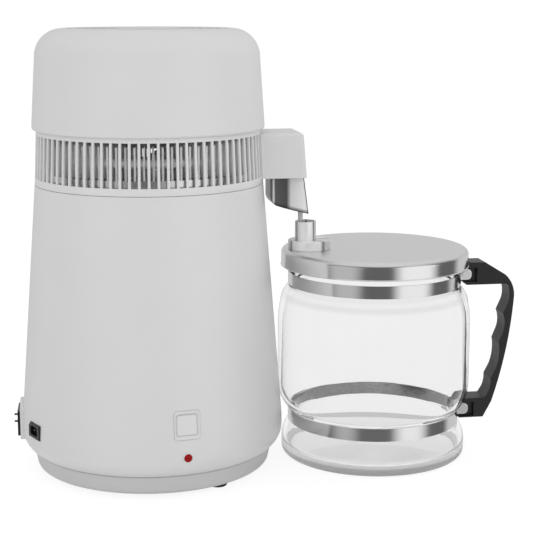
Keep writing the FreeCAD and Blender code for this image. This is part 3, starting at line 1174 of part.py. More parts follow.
def make_spout_housing():
    body = new_body("spout_housing")
    start = f"({VENT_TOP_R} - 10)"
    nose_x = f"({SPOUT_TOP_X} - dim.spout_nose_r)"
    nose_z = "(dim.spout_top_z - dim.spout_nose_r)"
    side = new_sketch(body, "XZ_Plane")
    draw_loop(side, [
        (start, "dim.spout_low_z"), (SPOUT_LOW_X, "dim.spout_low_z"),
        (SPOUT_TOP_X, nose_z), (nose_x, "dim.spout_top_z", "dim.spout_nose_r", RIGHT),
        (start, "dim.spout_top_z"),
    ])
    pad(body, side, "dim.spout_w", both_ways=True)
    top, half = number("dim.spout_top_z"), number("dim.spout_w / 2")
    round_edges(body, lambda a, b: all(abs(p.z - top) < 1e-4 and abs(abs(p.y) - half) < 1e-4
                                       for p in (a, b)), "dim.spout_nose_r * 0.8")
    hollow = new_sketch(body, "XZ_Plane")
    wall = "dim.spout_wall"
    draw_loop(hollow, [
        ("0", "0"), (f"{SPOUT_LOW_X} - {wall}", "0"),
        (f"{SPOUT_LOW_X} - {wall}", "dim.spout_low_z"),
        (f"{SPOUT_TOP_X} - {wall}", f"dim.spout_top_z - {wall}"),
        ("0", f"dim.spout_top_z - {wall}"),
    ])
    pocket(body, hollow, f"dim.spout_w - 2 * {wall}", both_ways=True)
    clear_vent_ring(body, "dim.fit")
    return place(body, z=HEAD_Z)


def chute_outline(shrink):
    """The chute's side outline, drawn in by a wall's thickness."""
    back = f"{CHUTE_BACK_X} + {shrink}"
    return [
        (back, "dim.chute_rim_z"), (back, "dim.chute_back_z"),
        (f"({CHUTE_BACK_X} + dim.chute_heel_run) + {shrink} * 0.5", f"dim.chute_heel_z + {shrink}",
         f"(dim.chute_heel_r - {shrink} * 0.5)", RIGHT),
        (f"({DRIP_X} + dim.chute_tip_reach) - {shrink} * 1.2", f"dim.chute_tip_z + {shrink} * 1.3",
         "dim.chute_belly_r", RIGHT),
        (f"({DRIP_X} + dim.chute_front_reach) - {shrink}", f"{CHUTE_NECK_Z} - {shrink}"),
        (f"{CHUTE_INSIDE_X} - {shrink}", f"{CHUTE_NECK_Z} - {shrink}"),
        (f"{CHUTE_INSIDE_X} - {shrink}", "dim.chute_rim_z"),
    ]


def make_chute():
    """The steel chute under the spout: closed below and open inside the spout's housing."""
    body = new_body("spout_chute")
    side = new_sketch(body, "XZ_Plane")
    draw_loop(side, chute_outline("0"))
    pad(body, side, "dim.chute_w", both_ways=True)
    flange = new_sketch(body, "XY_Plane", offset="(dim.chute_rim_z - dim.chute_t)")
    draw_box(flange, f"{CHUTE_INSIDE_X} - {CHUTE_BACK_X}",
             "dim.spout_w - 2 * dim.spout_wall - 2 * dim.gap",
             x=f"(({CHUTE_INSIDE_X} + {CHUTE_BACK_X}) / 2)")
    pad(body, flange, "dim.chute_t")
    hollow = new_sketch(body, "XZ_Plane")
    draw_loop(hollow, chute_outline("dim.chute_t"))
    pocket(body, hollow, "dim.chute_w - 2 * dim.chute_t", both_ways=True)
    drip = new_sketch(body, "XY_Plane", offset="dim.chute_tip_z * 1.2")
    draw_circle(drip, DRIP_X, "0", "dim.drip_r + dim.fit")
    pocket(body, drip, "-dim.chute_tip_z * 0.2 + dim.chute_t + dim.drip_in", reverse=True)
    return place(body, z=HEAD_Z)


def make_drip_tube():
    body = new_body("drip_tube")
    low = f"({CUP_TOP} + dim.drip_gap)"
    high = f"({HEAD_Z} + dim.chute_tip_z + dim.chute_t + dim.drip_in)"
    revolve(body, [("dim.drip_bore_r", low), ("dim.drip_r", low), ("dim.drip_r", high),
                   ("dim.drip_bore_r", high)])
    return place(body, x=DRIP_X)


# Jar.

def swell(dx, dz):
    """Radius of an arc that starts upright and moves in by dx over dz."""
    return f"((({dx})^2 + ({dz})^2) / (2 * ({dx})))"


def make_jar():
    body = new_body("jar_glass")
    wall = "dim.jar_wall"
    foot_in = f"({JAR_FOOT_R} - {JAR_WAIST_R})"
    body_in = f"({JAR_BODY_R} - {JAR_WAIST_R})"
    rise = f"({SHOULDER_Z} - {JAR_BODY_TOP})"
    inset = f"({JAR_BODY_R} - dim.shoulder_x)"
    shoulder_r = swell("dim.shoulder_x", rise)
    inner_waist = f"({JAR_WAIST_R} - {wall})"
    revolve(body, [
        ("0", "0"), (f"({JAR_FOOT_R} - dim.jar_foot_round)", "0"),
        (JAR_FOOT_R, "dim.jar_foot_round", "dim.jar_foot_round", RIGHT),
        (JAR_FOOT_R, "dim.jar_foot_top"),
        (JAR_WAIST_R, JAR_WAIST_Z,
         swell(foot_in, f"{JAR_WAIST_Z} - dim.jar_foot_top"), RIGHT),
        (JAR_WAIST_R, WAIST_TOP),
        (JAR_BODY_R, JAR_BODY_LOW, swell(body_in, f"{JAR_BODY_LOW} - {WAIST_TOP}"), RIGHT),
        (JAR_BODY_R, JAR_BODY_TOP),
        (inset, SHOULDER_Z, shoulder_r, RIGHT),
        ("dim.jar_neck_r", JAR_NECK_Z, "dim.shoulder_r", RIGHT),
        ("dim.jar_neck_r", JAR_H), (f"dim.jar_neck_r - {wall}", JAR_H),
        (f"dim.jar_neck_r - {wall}", f"{JAR_NECK_Z} - {wall} / 2"),
        (f"{inset} - {wall}", f"{SHOULDER_Z} - {wall} / 5", f"(dim.shoulder_r - {wall})", LEFT),
        (f"{JAR_BODY_R} - {wall}", JAR_BODY_TOP, f"({shoulder_r} - {wall})", LEFT),
        (f"{JAR_BODY_R} - {wall}", JAR_BODY_LOW),
        (inner_waist, f"{WAIST_TOP} + {wall} / 2",
         swell(body_in, f"{JAR_BODY_LOW} - {WAIST_TOP} - {wall} / 2"), LEFT),
        (inner_waist, f"{JAR_WAIST_Z} - {wall} / 2"),
        (f"{JAR_FOOT_R} - {wall}", "dim.jar_foot_top",
         swell(foot_in, f"{JAR_WAIST_Z} - {wall} / 2 - dim.jar_foot_top"), LEFT),
        (f"{JAR_FOOT_R} - {wall} - (dim.jar_foot_top - dim.jar_floor)", "dim.jar_floor",
         "(dim.jar_foot_top - dim.jar_floor)", LEFT),
        ("0", "dim.jar_floor"),
    ])
    return place(body, x=JAR_X)


def make_band(label, radius, low, height):
    """A steel band round the jar with two ears that hold the handle's end between them."""
    body = new_body(label)
    inner = f"({radius} + dim.fit)"
    outer = f"({inner} + dim.band_t)"
    revolve(body, [(inner, low), (outer, low), (outer, f"{low} + {height}"), (inner, f"{low} + {height}")])
    throat = new_sketch(body, "YZ_Plane", rise=f"({low} + {height} / 2)")
    draw_box(throat, "dim.handle_nose_w + 2 * dim.fit", f"({height}) * 2")
    pocket(body, throat, f"{outer} + 1", reverse=True)
    ear_y = "(dim.handle_nose_w / 2 + dim.fit)"
    root = f"sqrt(({inner} + dim.band_t / 2)^2 - ({ear_y} + dim.band_t)^2)"
    tip = f"({outer} + dim.ear_reach)"
    ear_low, ear_high = f"({low} + dim.band_t)", f"({low} + {height} - dim.band_t)"
    for offset in (ear_y, f"(-{ear_y} - dim.band_t)"):
        ear = new_sketch(body, "XZ_Plane", offset=offset)
        draw_loop(ear, [
            (root, ear_low), (f"{tip} - dim.ear_r", ear_low),
            (tip, f"{ear_low} + dim.ear_r", "dim.ear_r", RIGHT),
            (tip, f"{ear_high} - dim.ear_r"),
            (f"{tip} - dim.ear_r", ear_high, "dim.ear_r", RIGHT), (root, ear_high),
        ])
        draw_circle(ear, BOLT_X, f"({low} + {height} / 2)", "dim.bolt_r + dim.fit")
        pad(body, ear, "dim.band_t")
    return place(body, x=JAR_X)


def make_handle():
    body = new_body("handle")

    def out(alias):
        return f"({HANDLE_START} + dim.{alias})"

    def up(alias):
        return f"({JAR_WAIST_Z} + dim.{alias})"

    def down(alias):
        return f"({NECK_BAND_Z} - dim.{alias})"

    step_x = f"({LID_R} + dim.lid_bead + 4 * dim.slack)"
    step_z = f"({LID_SKIRT_Z} - dim.slack)"
    top = f"({step_z} + dim.arm_step)"
    foot = f"({JAR_WAIST_Z} - dim.foot_arm_drop)"
    outline = new_sketch(body, "XZ_Plane")
    draw_loop(outline, [
        (HANDLE_START, foot), (out("foot_arm_x"), foot), (out("heel_x"), up("heel_z")),
        (out("back_x"), down("back_drop"), "dim.back_r", RIGHT),
        (out("crown_x"), f"({NECK_BAND_Z} + dim.crown_z)", "dim.crown_r", RIGHT),
        (out("arm_flat_x"), top), (step_x, top), (step_x, step_z), (HANDLE_START, step_z),
        (HANDLE_START, f"{NECK_BAND_Z} + dim.band_t"),
        (out("arm_low_start"), down("arm_drop")), (out("crook_x"), down("arm_drop")),
        (f"{out('crook_x')} + dim.crook_r", f"{down('arm_drop')} - dim.crook_r", "dim.crook_r", LEFT),
        (out("grip_top_x"), down("grip_top_drop"), "dim.hollow_one_r", LEFT),
        (out("peak_one_x"), up("peak_one_z")),
        (out("facet_one_x"), up("facet_one_z"), "dim.hollow_one_r", LEFT),
        (out("peak_two_x"), up("peak_two_z")),
        (out("facet_two_x"), up("facet_two_z"), "dim.hollow_two_r", LEFT),
        (out("peak_three_x"), up("peak_three_z")),
        (out("facet_three_x"), up("facet_three_z"), "dim.hollow_three_r", LEFT),
        (out("crotch_x"), up("foot_arm_top")), (out("foot_arm_start"), up("foot_arm_top")),
        (HANDLE_START, f"{WAIST_TOP} - dim.band_t"),
    ])
    pad(body, outline, "dim.handle_w", both_ways=True)
    depth = "((dim.handle_w - dim.handle_nose_w) / 2 + 1)"
    for offset, reverse in (("(dim.handle_nose_w / 2)", True), ("(-dim.handle_nose_w / 2)", False)):
        recess = new_sketch(body, "XZ_Plane", offset=offset)
        for centre, height in ((UPPER_BOLT_Z, "dim.neck_band_h"), (LOWER_BOLT_Z, "dim.waist_band_h")):
            draw_box(recess, "dim.pocket_end + 2", f"{height} + 2 * dim.pocket_margin",
                     x=f"({HANDLE_START} + dim.pocket_end / 2 - 1)", y=centre)
        pocket(body, recess, depth, reverse=reverse)
    holes = new_sketch(body, "XZ_Plane")
    for centre in (UPPER_BOLT_Z, LOWER_BOLT_Z):
        draw_circle(holes, BOLT_X, centre, "dim.bolt_r + dim.fit")
    pocket(body, holes, "2 * dim.handle_w", both_ways=True)
    return place(body, x=JAR_X)


def make_bolt(label, height):
    body = new_body(label)
    grip = "(dim.handle_nose_w / 2 + 2 * dim.fit + dim.band_t)"
    end = f"({grip} + dim.bolt_head_t)"
    revolve(body, [
        ("0", f"-{end}"), ("dim.bolt_head_r", f"-{end}"), ("dim.bolt_head_r", f"-{grip}"),
        ("dim.bolt_r", f"-{grip}"), ("dim.bolt_r", grip), ("dim.bolt_head_r", grip),
        ("dim.bolt_head_r", end), ("0", end),
    ])
    return place(body, x=f"{JAR_X} + {BOLT_X}", z=height, yaw="90", pitch="90")


# Lid.

def make_lid():
    body = new_body("lid")
    top, t = LID_TOP_Z, "dim.lid_t"
    flat = f"({LID_R} - dim.lid_edge_r)"
    low = LID_SKIRT_Z
    revolve(body, [
        ("0", f"{top} - {t}"), (f"{flat}", f"{top} - {t}"),
        (f"{LID_R} - {t}", f"{top} - dim.lid_edge_r", f"(dim.lid_edge_r - {t})", LEFT),
        (f"{LID_R} - {t}", low), (LID_R, low),
        (f"{LID_R} + dim.lid_bead", f"{low} + dim.lid_bead"),
        (LID_R, f"{low} + 2 * dim.lid_bead"), (LID_R, f"{top} - dim.lid_edge_r"),
        (flat, top, "dim.lid_edge_r", RIGHT), ("0", top),
    ])
    hole = new_sketch(body, "XY_Plane", offset=LID_TOP_Z)
    draw_circle(hole, CUP_X, "0", "dim.lid_hole_r")
    pocket(body, hole, "2 * dim.lid_t")
    return place(body, x=JAR_X)


def make_lid_gasket():
    body = new_body("lid_gasket")
    inner, neck = "(dim.jar_neck_r - dim.jar_wall + dim.gap)", "(dim.jar_neck_r + dim.gap)"
    skirt = f"({LID_R} - dim.lid_t - dim.gap)"
    flat = f"({LID_R} - dim.lid_edge_r - dim.gap)"
    under = f"({LID_TOP_Z} - dim.lid_t)"
    low = f"({LID_SKIRT_Z} + 2 * dim.lid_bead)"
    revolve(body, [
        (inner, JAR_H), (neck, JAR_H), (neck, low), (skirt, low),
        (skirt, f"{under} - dim.lid_edge_r"), (flat, f"{under} - dim.gap"), (flat, under), (inner, under),
    ])
    return place(body, x=JAR_X)


def make_collar():
    body = new_body("filter_collar")
    ring = new_sketch(body, "XY_Plane", offset=LID_TOP_Z)
    draw_circle(ring, f"{CUP_X} + dim.collar_offset", "0", f"(dim.cup_r + dim.fit + dim.collar_wall)")
    draw_circle(ring, CUP_X, "0", "dim.cup_r + dim.fit")
    pad(body, ring, "dim.collar_h")
    return place(body, x=JAR_X)


def make_cup():
    body = new_body("filter_cup")
    inner = "(dim.cup_r - dim.cup_t)"
    revolve(body, [
        ("0", "0"), ("dim.cup_r", "0"), ("dim.cup_r", "dim.cup_h"), (inner, "dim.cup_h"),
        (inner, "dim.cup_t"), ("0", "dim.cup_t"),
    ])
    drain = new_sketch(body, "XY_Plane")
    draw_circle(drain, "dim.cup_drain_ring_r", "0", "dim.cup_drain_r")
    polar(body, pocket(body, drain, "2 * dim.cup_t", reverse=True), "dim.cup_drain_count")
    return place(body, x=f"{JAR_X} + {CUP_X}", z=LID_TOP_Z)


def make_filter():
    body = new_body("carbon_filter")
    radius = "(dim.cup_r - dim.cup_t - dim.fit)"
    top = f"(dim.cup_t + (dim.cup_h - dim.cup_t - dim.filter_drop))"
    revolve(body, [("0", "dim.cup_t"), (radius, "dim.cup_t"), (radius, top), ("0", top)])
    return place(body, x=f"{JAR_X} + {CUP_X}", z=LID_TOP_Z)


PIECES = [
    *[make_foot(index) for index in range(3)],
    make_plinth(), make_housing(), make_pot(), make_heater_plate(), make_heating_element(),
    make_heater_posts(), make_thermostat("thermostat", "90"), make_thermostat("thermal_cutout", "270"),
    make_bezel(), make_button(), make_switch(), make_lamp_holder(), make_lamp_lens(),
    make_power_inlet(), make_inlet_pins(), *make_sockets(),
    make_seal(), make_pan(), make_vent_ring(), make_cover(),
    make_steam_pipe(), make_steam_sleeve(), make_condenser(),
    make_deck(), make_motor(), make_shaft(), make_rotor(),
    make_spout_housing(), make_chute(), make_drip_tube(),
    make_jar(), make_band("neck_band", "dim.jar_neck_r", NECK_BAND_Z, "dim.neck_band_h"),
    make_band("waist_band", JAR_WAIST_R, f"({JAR_WAIST_Z} + dim.fit)", "dim.waist_band_h"),
    make_handle(), make_bolt("handle_bolt_upper", UPPER_BOLT_Z),
    make_bolt("handle_bolt_lower", LOWER_BOLT_Z),
    make_lid(), make_lid_gasket(), make_collar(), make_cup(), make_filter(),
]
doc.recompute()

broken = [item.Name for item in doc.Objects if {"Invalid", "Error"} & set(item.State)]
if broken:
    raise RuntimeError(f"not recomputed: {broken}")
for piece in PIECES:
    if piece.Shape.isNull() or not piece.Shape.isValid():
        raise RuntimeError(f"no valid shape: {piece.Label}")

os.makedirs("parts", exist_ok=True)
for piece in PIECES:
    piece.Shape.exportStep(f"parts/{piece.Label}.step")
    print(piece.Label, len(piece.Shape.Solids), round(piece.Shape.Volume / 1000, 2))
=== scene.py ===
"""Looks for the countertop water distiller: finishes, glass, metal, slots, fins and soft edges."""
import math

import bmesh
import bpy
from mathutils import Matrix, Vector
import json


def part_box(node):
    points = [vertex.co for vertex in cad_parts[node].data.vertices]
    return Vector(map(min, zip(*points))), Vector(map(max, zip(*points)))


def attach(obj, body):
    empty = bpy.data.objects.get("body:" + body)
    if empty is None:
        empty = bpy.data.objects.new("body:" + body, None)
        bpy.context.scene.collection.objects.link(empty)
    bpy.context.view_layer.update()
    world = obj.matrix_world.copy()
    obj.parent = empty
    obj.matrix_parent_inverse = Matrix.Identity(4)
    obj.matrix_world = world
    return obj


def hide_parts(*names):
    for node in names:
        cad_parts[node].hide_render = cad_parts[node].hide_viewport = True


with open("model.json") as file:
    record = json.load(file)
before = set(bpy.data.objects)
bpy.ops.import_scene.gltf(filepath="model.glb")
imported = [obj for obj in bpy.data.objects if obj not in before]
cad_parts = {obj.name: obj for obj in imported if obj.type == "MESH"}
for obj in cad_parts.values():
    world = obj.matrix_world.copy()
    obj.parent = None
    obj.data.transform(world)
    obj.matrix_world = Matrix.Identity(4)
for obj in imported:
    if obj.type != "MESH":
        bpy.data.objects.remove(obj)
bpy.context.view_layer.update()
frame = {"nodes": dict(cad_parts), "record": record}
MM = 0.001

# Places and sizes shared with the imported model, in millimetres and degrees.
JOIN_Z = 20.3
HEAD_Z = 252.0
JAR_X = 201.1
CUP_X = 137.8
DRIP_X = 133.2
PANEL_R = 113.3
PANEL_TURN = 279.75
BUTTON_Z = 65.0
DRAFT = 4.348
VENT_LOW_R = 98.5
VENT_TOP_R = 96.3
VENT_H = 46.6
SLOT_PITCH = 4.61538
GLASS_FOOT_R = 76.5
BAND_MIDDLE_R = 77.4


# Node arithmetic.

class Wire:
    """A node socket that takes part in sums."""

    def __init__(self, graph, socket):
        self.graph, self.socket = graph, socket

    def __add__(self, other):
        return self.graph.sum("ADD", self, other)

    def __sub__(self, other):
        return self.graph.sum("SUBTRACT", self, other)

    def __rsub__(self, other):
        return self.graph.sum("SUBTRACT", other, self)

    def __mul__(self, other):
        return self.graph.sum("MULTIPLY", self, other)

    def __truediv__(self, other):
        return self.graph.sum("DIVIDE", self, other)

    def __gt__(self, other):
        return self.graph.sum("GREATER_THAN", self, other)

    __radd__, __rmul__ = __add__, __mul__


class Graph:
    """A node tree built from expressions."""

    def __init__(self, tree):
        self.tree = tree
        self.tree.nodes.clear()

    def add(self, kind, settings=None, output=0, **sockets):
        """A node of a kind, its settings first, then its sockets by name or number."""
        node = self.tree.nodes.new(kind)
        for key, value in (settings or {}).items():
            if key == "stops":
                self.set_stops(node.color_ramp, value)
            else:
                setattr(node, key, value)
        for key, value in sockets.items():
            socket = node.inputs[int(key[2:]) if key.startswith("in") else key.replace("_", " ")]
            if isinstance(value, Wire):
                self.tree.links.new(value.socket, socket)
            else:
                socket.default_value = value
        return Wire(self, node.outputs[output]) if node.outputs else None

    @staticmethod
    def set_stops(ramp, stops):
        ramp.elements.remove(ramp.elements[1])
        ramp.elements[0].position = stops[0][0]
        for place, grey in stops:
            element = ramp.elements.new(place) if place > stops[0][0] else ramp.elements[0]
            element.color = (grey, grey, grey, 1)

    def sum(self, operation, left, right=0.0):
        return self.add("ShaderNodeMath", {"operation": operation}, in0=left, in1=right)

    def vector(self, x=0.0, y=0.0, z=0.0):
        return self.add("ShaderNodeCombineXYZ", in0=x, in1=y, in2=z)

    def axes(self, vector, names):
        """The named axes of a vector, one value each."""
        return [self.add("ShaderNodeSeparateXYZ", output=axis, Vector=vector) for axis in names]

    def fade(self, value, start, end, low=0.0, high=1.0):
        """Low at the start, high at the end, even between them and held beyond."""
        return self.add("ShaderNodeMapRange", Value=value, in1=start, in2=end, in3=low, in4=high)

    def ramp(self, value, stops):
        """Greys read off a row of stops."""
        return self.add("ShaderNodeValToRGB", {"stops": stops}, Fac=value)

    def tint(self, factor, low, high):
        """A colour between two colours or greys by a factor."""
        return self.add("ShaderNodeMix", {"data_type": "RGBA"}, output=2, in0=factor,
                        in6=colour(low), in7=colour(high))


def colour(shade):
    """A socket's colour from a link, a grey or a red, green and blue."""
    if isinstance(shade, Wire):
        return shade
    return (*shade, 1) if isinstance(shade, tuple) else (shade, shade, shade, 1)


class Finish(Graph):
    """A node material, or the world."""

    def __init__(self, name, owner=None):
        self.owner = owner or bpy.data.materials.new(name)
        self.owner.use_nodes = True
        super().__init__(self.owner.node_tree)

    def place(self, scale=(1, 1, 1), turn=(0, 0, 0), centre=(0, 0, 0)):
        """Object coordinates, moved to a centre, turned and scaled."""
        here = self.add("ShaderNodeTexCoord", output="Object")
        return self.add("ShaderNodeMapping", {"vector_type": "TEXTURE"}, Vector=here,
                        Location=centre, Rotation=turn, Scale=[1 / s for s in scale])

    def noise(self, size, detail=2.0, scale=(1, 1, 1), rough=0.5, **place):
        """Grey noise about 0.5 whose grain is size metres."""
        return self.add("ShaderNodeTexNoise", Vector=self.place(scale, **place), Scale=1 / size,
                        Detail=detail, Roughness=rough)

    def bump(self, height, depth, strength=1.0):
        """A bump of a depth in metres."""
        return self.add("ShaderNodeBump", Height=height, Distance=depth, Strength=strength)

    def surface(self, **sockets):
        shader = self.add("ShaderNodeBsdfPrincipled", **sockets)
        self.add("ShaderNodeOutputMaterial", Surface=shader)
        return self.owner


def white_coat(name, grey, rough, grain, depth, shadow_top=None):
    """White powder coat or moulded plastic with a faint orange peel, and if asked a painted shadow
    just below a given height.
    """
    finish = Finish(name)
    cloud = finish.noise(0.05, detail=3)
    peel = finish.noise(grain, detail=3, rough=0.6)
    speck = finish.noise(grain * 0.4, detail=1)
    shade = cloud * 0.08 + speck * 0.02
    # Painted shadow: the coat darkens over the 1.8 mm below the given height, fully from 0.6 mm below
    # it, standing in for shade under the housing's lower edge.
    if shadow_top:
        clear_below, dark_from = shadow_top - 1.8, shadow_top - 0.6
        height, = finish.axes(finish.place(), "Z")
        shade = shade + finish.fade(height, clear_below * MM, dark_from * MM, high=0.95)
    return finish.surface(
        Base_Color=finish.tint(shade, grey * 1.025, grey * 0.5),
        Roughness=(rough - 0.04) + cloud * 0.05 + peel * 0.04,
        Normal=finish.bump(peel * 0.7 + speck * 0.3, depth), IOR=1.46)


def polished_steel(name, grey, rough, lines=(1, 1, 14), depth=0.00002, **place):
    """Stainless steel with fine lines along its rolling or turning direction."""
    finish = Finish(name)
    grain = finish.noise(0.006, detail=4, scale=lines, rough=0.7, **place)
    smear = finish.noise(0.03, detail=2)
    dull, bright = grey - 0.03, grey + 0.03
    return finish.surface(
        Base_Color=finish.tint(smear * 0.6 + grain * 0.4, dull, (bright, bright, bright + 0.004)),
        Metallic=1.0, Roughness=(rough - 0.03) + grain * 0.03 + smear * 0.03,
        Normal=finish.bump(grain, depth))


def turned_steel(name, grey, centre, top):
    """A steel lid with rings from turning on its top, and a polished rim."""
    finish = Finish(name)
    here = finish.place(centre=centre)
    x, y, z = finish.axes(here, "XYZ")
    radius = finish.sum("POWER", x * x + y * y, 0.5)
    rings_per_metre = 1400.0
    rings = finish.add("ShaderNodeTexNoise", {"noise_dimensions": "1D"}, W=radius,
                       Scale=rings_per_metre, Detail=3.0)
    smear = finish.noise(0.04, detail=2)
    turned_to, polished_from = top - 1.6 * MM, top - 3.6 * MM
    rim = finish.fade(z, turned_to, polished_from)
    return finish.surface(
        Base_Color=finish.tint(rings * 0.1 + rim * 0.9, grey, grey + 0.06),
        Metallic=1.0, Roughness=0.36 - rim * 0.24 + rings * 0.03 + smear * 0.02,
        Normal=finish.bump(rings, 0.000004))


def black_plastic(name, grey, rough, grain=0.0007, depth=0.00004):
    """Black moulded plastic with a spark-eroded grain."""
    finish = Finish(name)
    pits = finish.noise(grain, detail=2, rough=0.6)
    cloud = finish.noise(0.02, detail=2)
    return finish.surface(
        Base_Color=finish.tint(cloud * 0.6 + pits * 0.4, grey * 0.8, grey * 1.25),
        Roughness=(rough - 0.05) + pits * 0.06 + cloud * 0.05, Normal=finish.bump(pits, depth))


def clear_glass(name, clear, dark_tint, bend):
    """Blown glass, faintly wavy: tinted darker round the side of its foot and in two thin rings at its
    shoulder, ground underneath.
    """
    finish = Finish(name)
    wave = finish.noise(0.045, detail=1)
    here = finish.place(centre=(JAR_X * MM, 0, 0))
    x, y, z = finish.axes(here, "XYZ")
    # Darker tints set by place alone: on the outer side up to the top of the foot, and in two thin
    # rings high on the jar.
    side = (x * x + y * y) > (GLASS_FOOT_R * MM)**2
    foot = finish.fade(z, 7.2 * MM, 8.4 * MM, low=1.0, high=0.0)
    ground = finish.fade(z, 0.2 * MM, 0.8 * MM, low=1.0, high=0.0)
    ramp_height = 0.2
    shoulder = finish.ramp(z / ramp_height, [
        (0.0, 0.0), (0.715, 0.0), (0.735, 0.22), (0.755, 0.02), (0.772, 0.16), (0.79, 0.0)])
    return finish.surface(
        Base_Color=finish.tint(side * foot + shoulder, clear, dark_tint),
        Transmission_Weight=1.0, IOR=bend, Roughness=wave * 0.004 + ground * 0.4,
        Normal=finish.bump(wave, 0.00006))


def milky_rubber(name, grey, rough):
    """Silicone rubber that lets a little light in."""
    finish = Finish(name)
    dust = finish.noise(0.0012, detail=3)
    depth = 2 * MM
    return finish.surface(Base_Color=finish.tint(dust, grey - 0.02, grey + 0.02),
                          Roughness=rough + dust * 0.06, Normal=finish.bump(dust, 0.00002),
                          Subsurface_Weight=0.1, Subsurface_Radius=(depth, depth, depth))


def sheet_aluminium():
    """Bright mill-finish aluminium sheet, half matt."""
    finish = Finish("sheet_aluminium")
    smear = finish.noise(0.01, detail=3)
    lines = finish.noise(0.002, detail=3, scale=(1, 1, 6))
    return finish.surface(
        Base_Color=finish.tint(smear * 0.5 + lines * 0.5, 0.84, (0.91, 0.91, 0.92)),
        Metallic=0.25, Roughness=0.36 + lines * 0.08, Normal=finish.bump(lines, 0.00001))


def chute_steel():
    """Polished pressed steel with painted reflections: a dark back, belly and lip, a painted highlight
    on the bend, sides bright in front.
    """
    finish = Finish("chute_steel")
    x, y, z = finish.axes(finish.place(), "XYZ")
    half_width, belly_x, belly_drop, belly_slope = 13.7, 110.6, 22.2, 0.266
    bend_x, lip_x, lip_top, lip_lean = 106.8, 132.8, 3.5, 0.127
    back_x, front_x = 108.0, 134.0
    # Painted reflection: these masks paint a dark back, belly and lip on the sides, a highlight along
    # the bend, sides that brighten towards the front and a light front face at the lip; where painted
    # bright the steel is made less metallic.
    side = finish.sum("ABSOLUTE", y) > half_width * MM
    belly = finish.fade(z - (HEAD_Z - belly_drop) * MM + (x - belly_x * MM) * belly_slope,
                        0.0, 3.4 * MM, low=0.12)
    bend = finish.fade(finish.sum("ABSOLUTE", x - bend_x * MM), 0.5 * MM, 1.4 * MM, low=1.0, high=0.0)
    below_top = (HEAD_Z + lip_top) * MM - z
    lip = (x - below_top * lip_lean) > lip_x * MM
    across = finish.fade(x, back_x * MM, front_x * MM)
    shade = finish.ramp(across, [(0.0, 0.16), (0.40, 0.10), (0.54, 0.78), (1.0, 0.92)])
    grain = finish.noise(0.006, detail=4, scale=(6, 6, 1), rough=0.7)
    sheet = finish.sum("MAXIMUM", shade, bend * 0.8) * side * (1 - lip * 0.8) * belly
    sheet = sheet + (1 - side) * lip * 0.6
    return finish.surface(
        Base_Color=finish.tint(sheet + grain * 0.05, 0.05, (0.98, 0.98, 0.99)),
        Metallic=0.9 - sheet * 0.8, Roughness=0.18 + grain * 0.06, Normal=finish.bump(grain, 0.00001))


def reflection_painted_steel(name):
    """Bright polished steel with painted reflections: light and dark upright stripes round the filter
    cup's axis.
    """
    finish = Finish(name)
    x, y = finish.axes(finish.place(centre=(CUP_X * MM, 0, 0)), "XY")
    around = finish.sum("ARCTAN2", y, x) / (2 * math.pi) + 0.5
    # Painted reflection: the light and dark stripes round the cup's axis stand in for what the cup and
    # its collar mirror; where they are bright the steel is made less metallic.
    painted_reflections = finish.ramp(around, [
        (0.0, 0.55), (0.05, 0.62), (0.075, 0.22), (0.095, 0.92), (0.2, 0.98), (0.335, 0.92),
        (0.358, 0.18), (0.378, 0.66), (0.46, 0.72), (0.52, 0.4), (0.56, 0.85), (0.68, 0.9),
        (0.71, 0.3), (0.75, 0.85), (0.93, 0.8), (1.0, 0.55)])
    grain = finish.noise(0.005, detail=3, scale=(1, 1, 6), rough=0.6)
    return finish.surface(
        Base_Color=finish.tint(painted_reflections + grain * 0.04, 0.04, (0.96, 0.96, 0.97)),
        Metallic=0.75 - painted_reflections * 0.6, Roughness=0.1 + grain * 0.04, IOR=1.7,
        Normal=finish.bump(grain, 0.000006))


def band_steel():
    """Bright steel strip, dull on the side that lies on the glass."""
    finish = Finish("band_steel")
    x, y = finish.axes(finish.place(centre=(JAR_X * MM, 0, 0)), "XY")
    outside = (x * x + y * y) > (BAND_MIDDLE_R * MM)**2
    grain = finish.noise(0.006, detail=4, scale=(1, 1, 14), rough=0.7)
    polish = outside * 0.78 + grain * 0.04
    return finish.surface(Base_Color=finish.tint(polish, 0.42, 1.0),
                          Metallic=1.0, Roughness=0.26 - outside * 0.13 + grain * 0.03,
                          Normal=finish.bump(grain, 0.00002))


def charcoal():
    """Black grains of active charcoal."""
    finish = Finish("charcoal_grains")
    grains_per_metre = 900.0
    grains = finish.add("ShaderNodeTexVoronoi", Vector=finish.place(), Scale=grains_per_metre)
    return finish.surface(Base_Color=finish.tint(grains, 0.012, 0.05),
                          Roughness=0.55 + grains * 0.2, Normal=finish.bump(grains, 0.0004))


def red_lens():
    """Deep red moulded plastic with small facets inside, faintly lit."""
    finish = Finish("red_lens")
    facets_per_metre = 1100.0
    deep, light = (0.20, 0.0003, 0.001), (0.30, 0.0006, 0.003)
    facets = finish.add("ShaderNodeTexVoronoi", Vector=finish.place(), Scale=facets_per_metre)
    return finish.surface(Base_Color=finish.tint(facets, deep, light),
                          Roughness=0.34 + facets * 0.06, IOR=1.3,
                          Emission_Color=(0.5, 0.0, 0.004, 1), Emission_Strength=0.08,
                          Normal=finish.bump(facets, 0.00004))


COAT = white_coat("housing_coat", 0.70, 0.34, 0.0011, 0.00003)
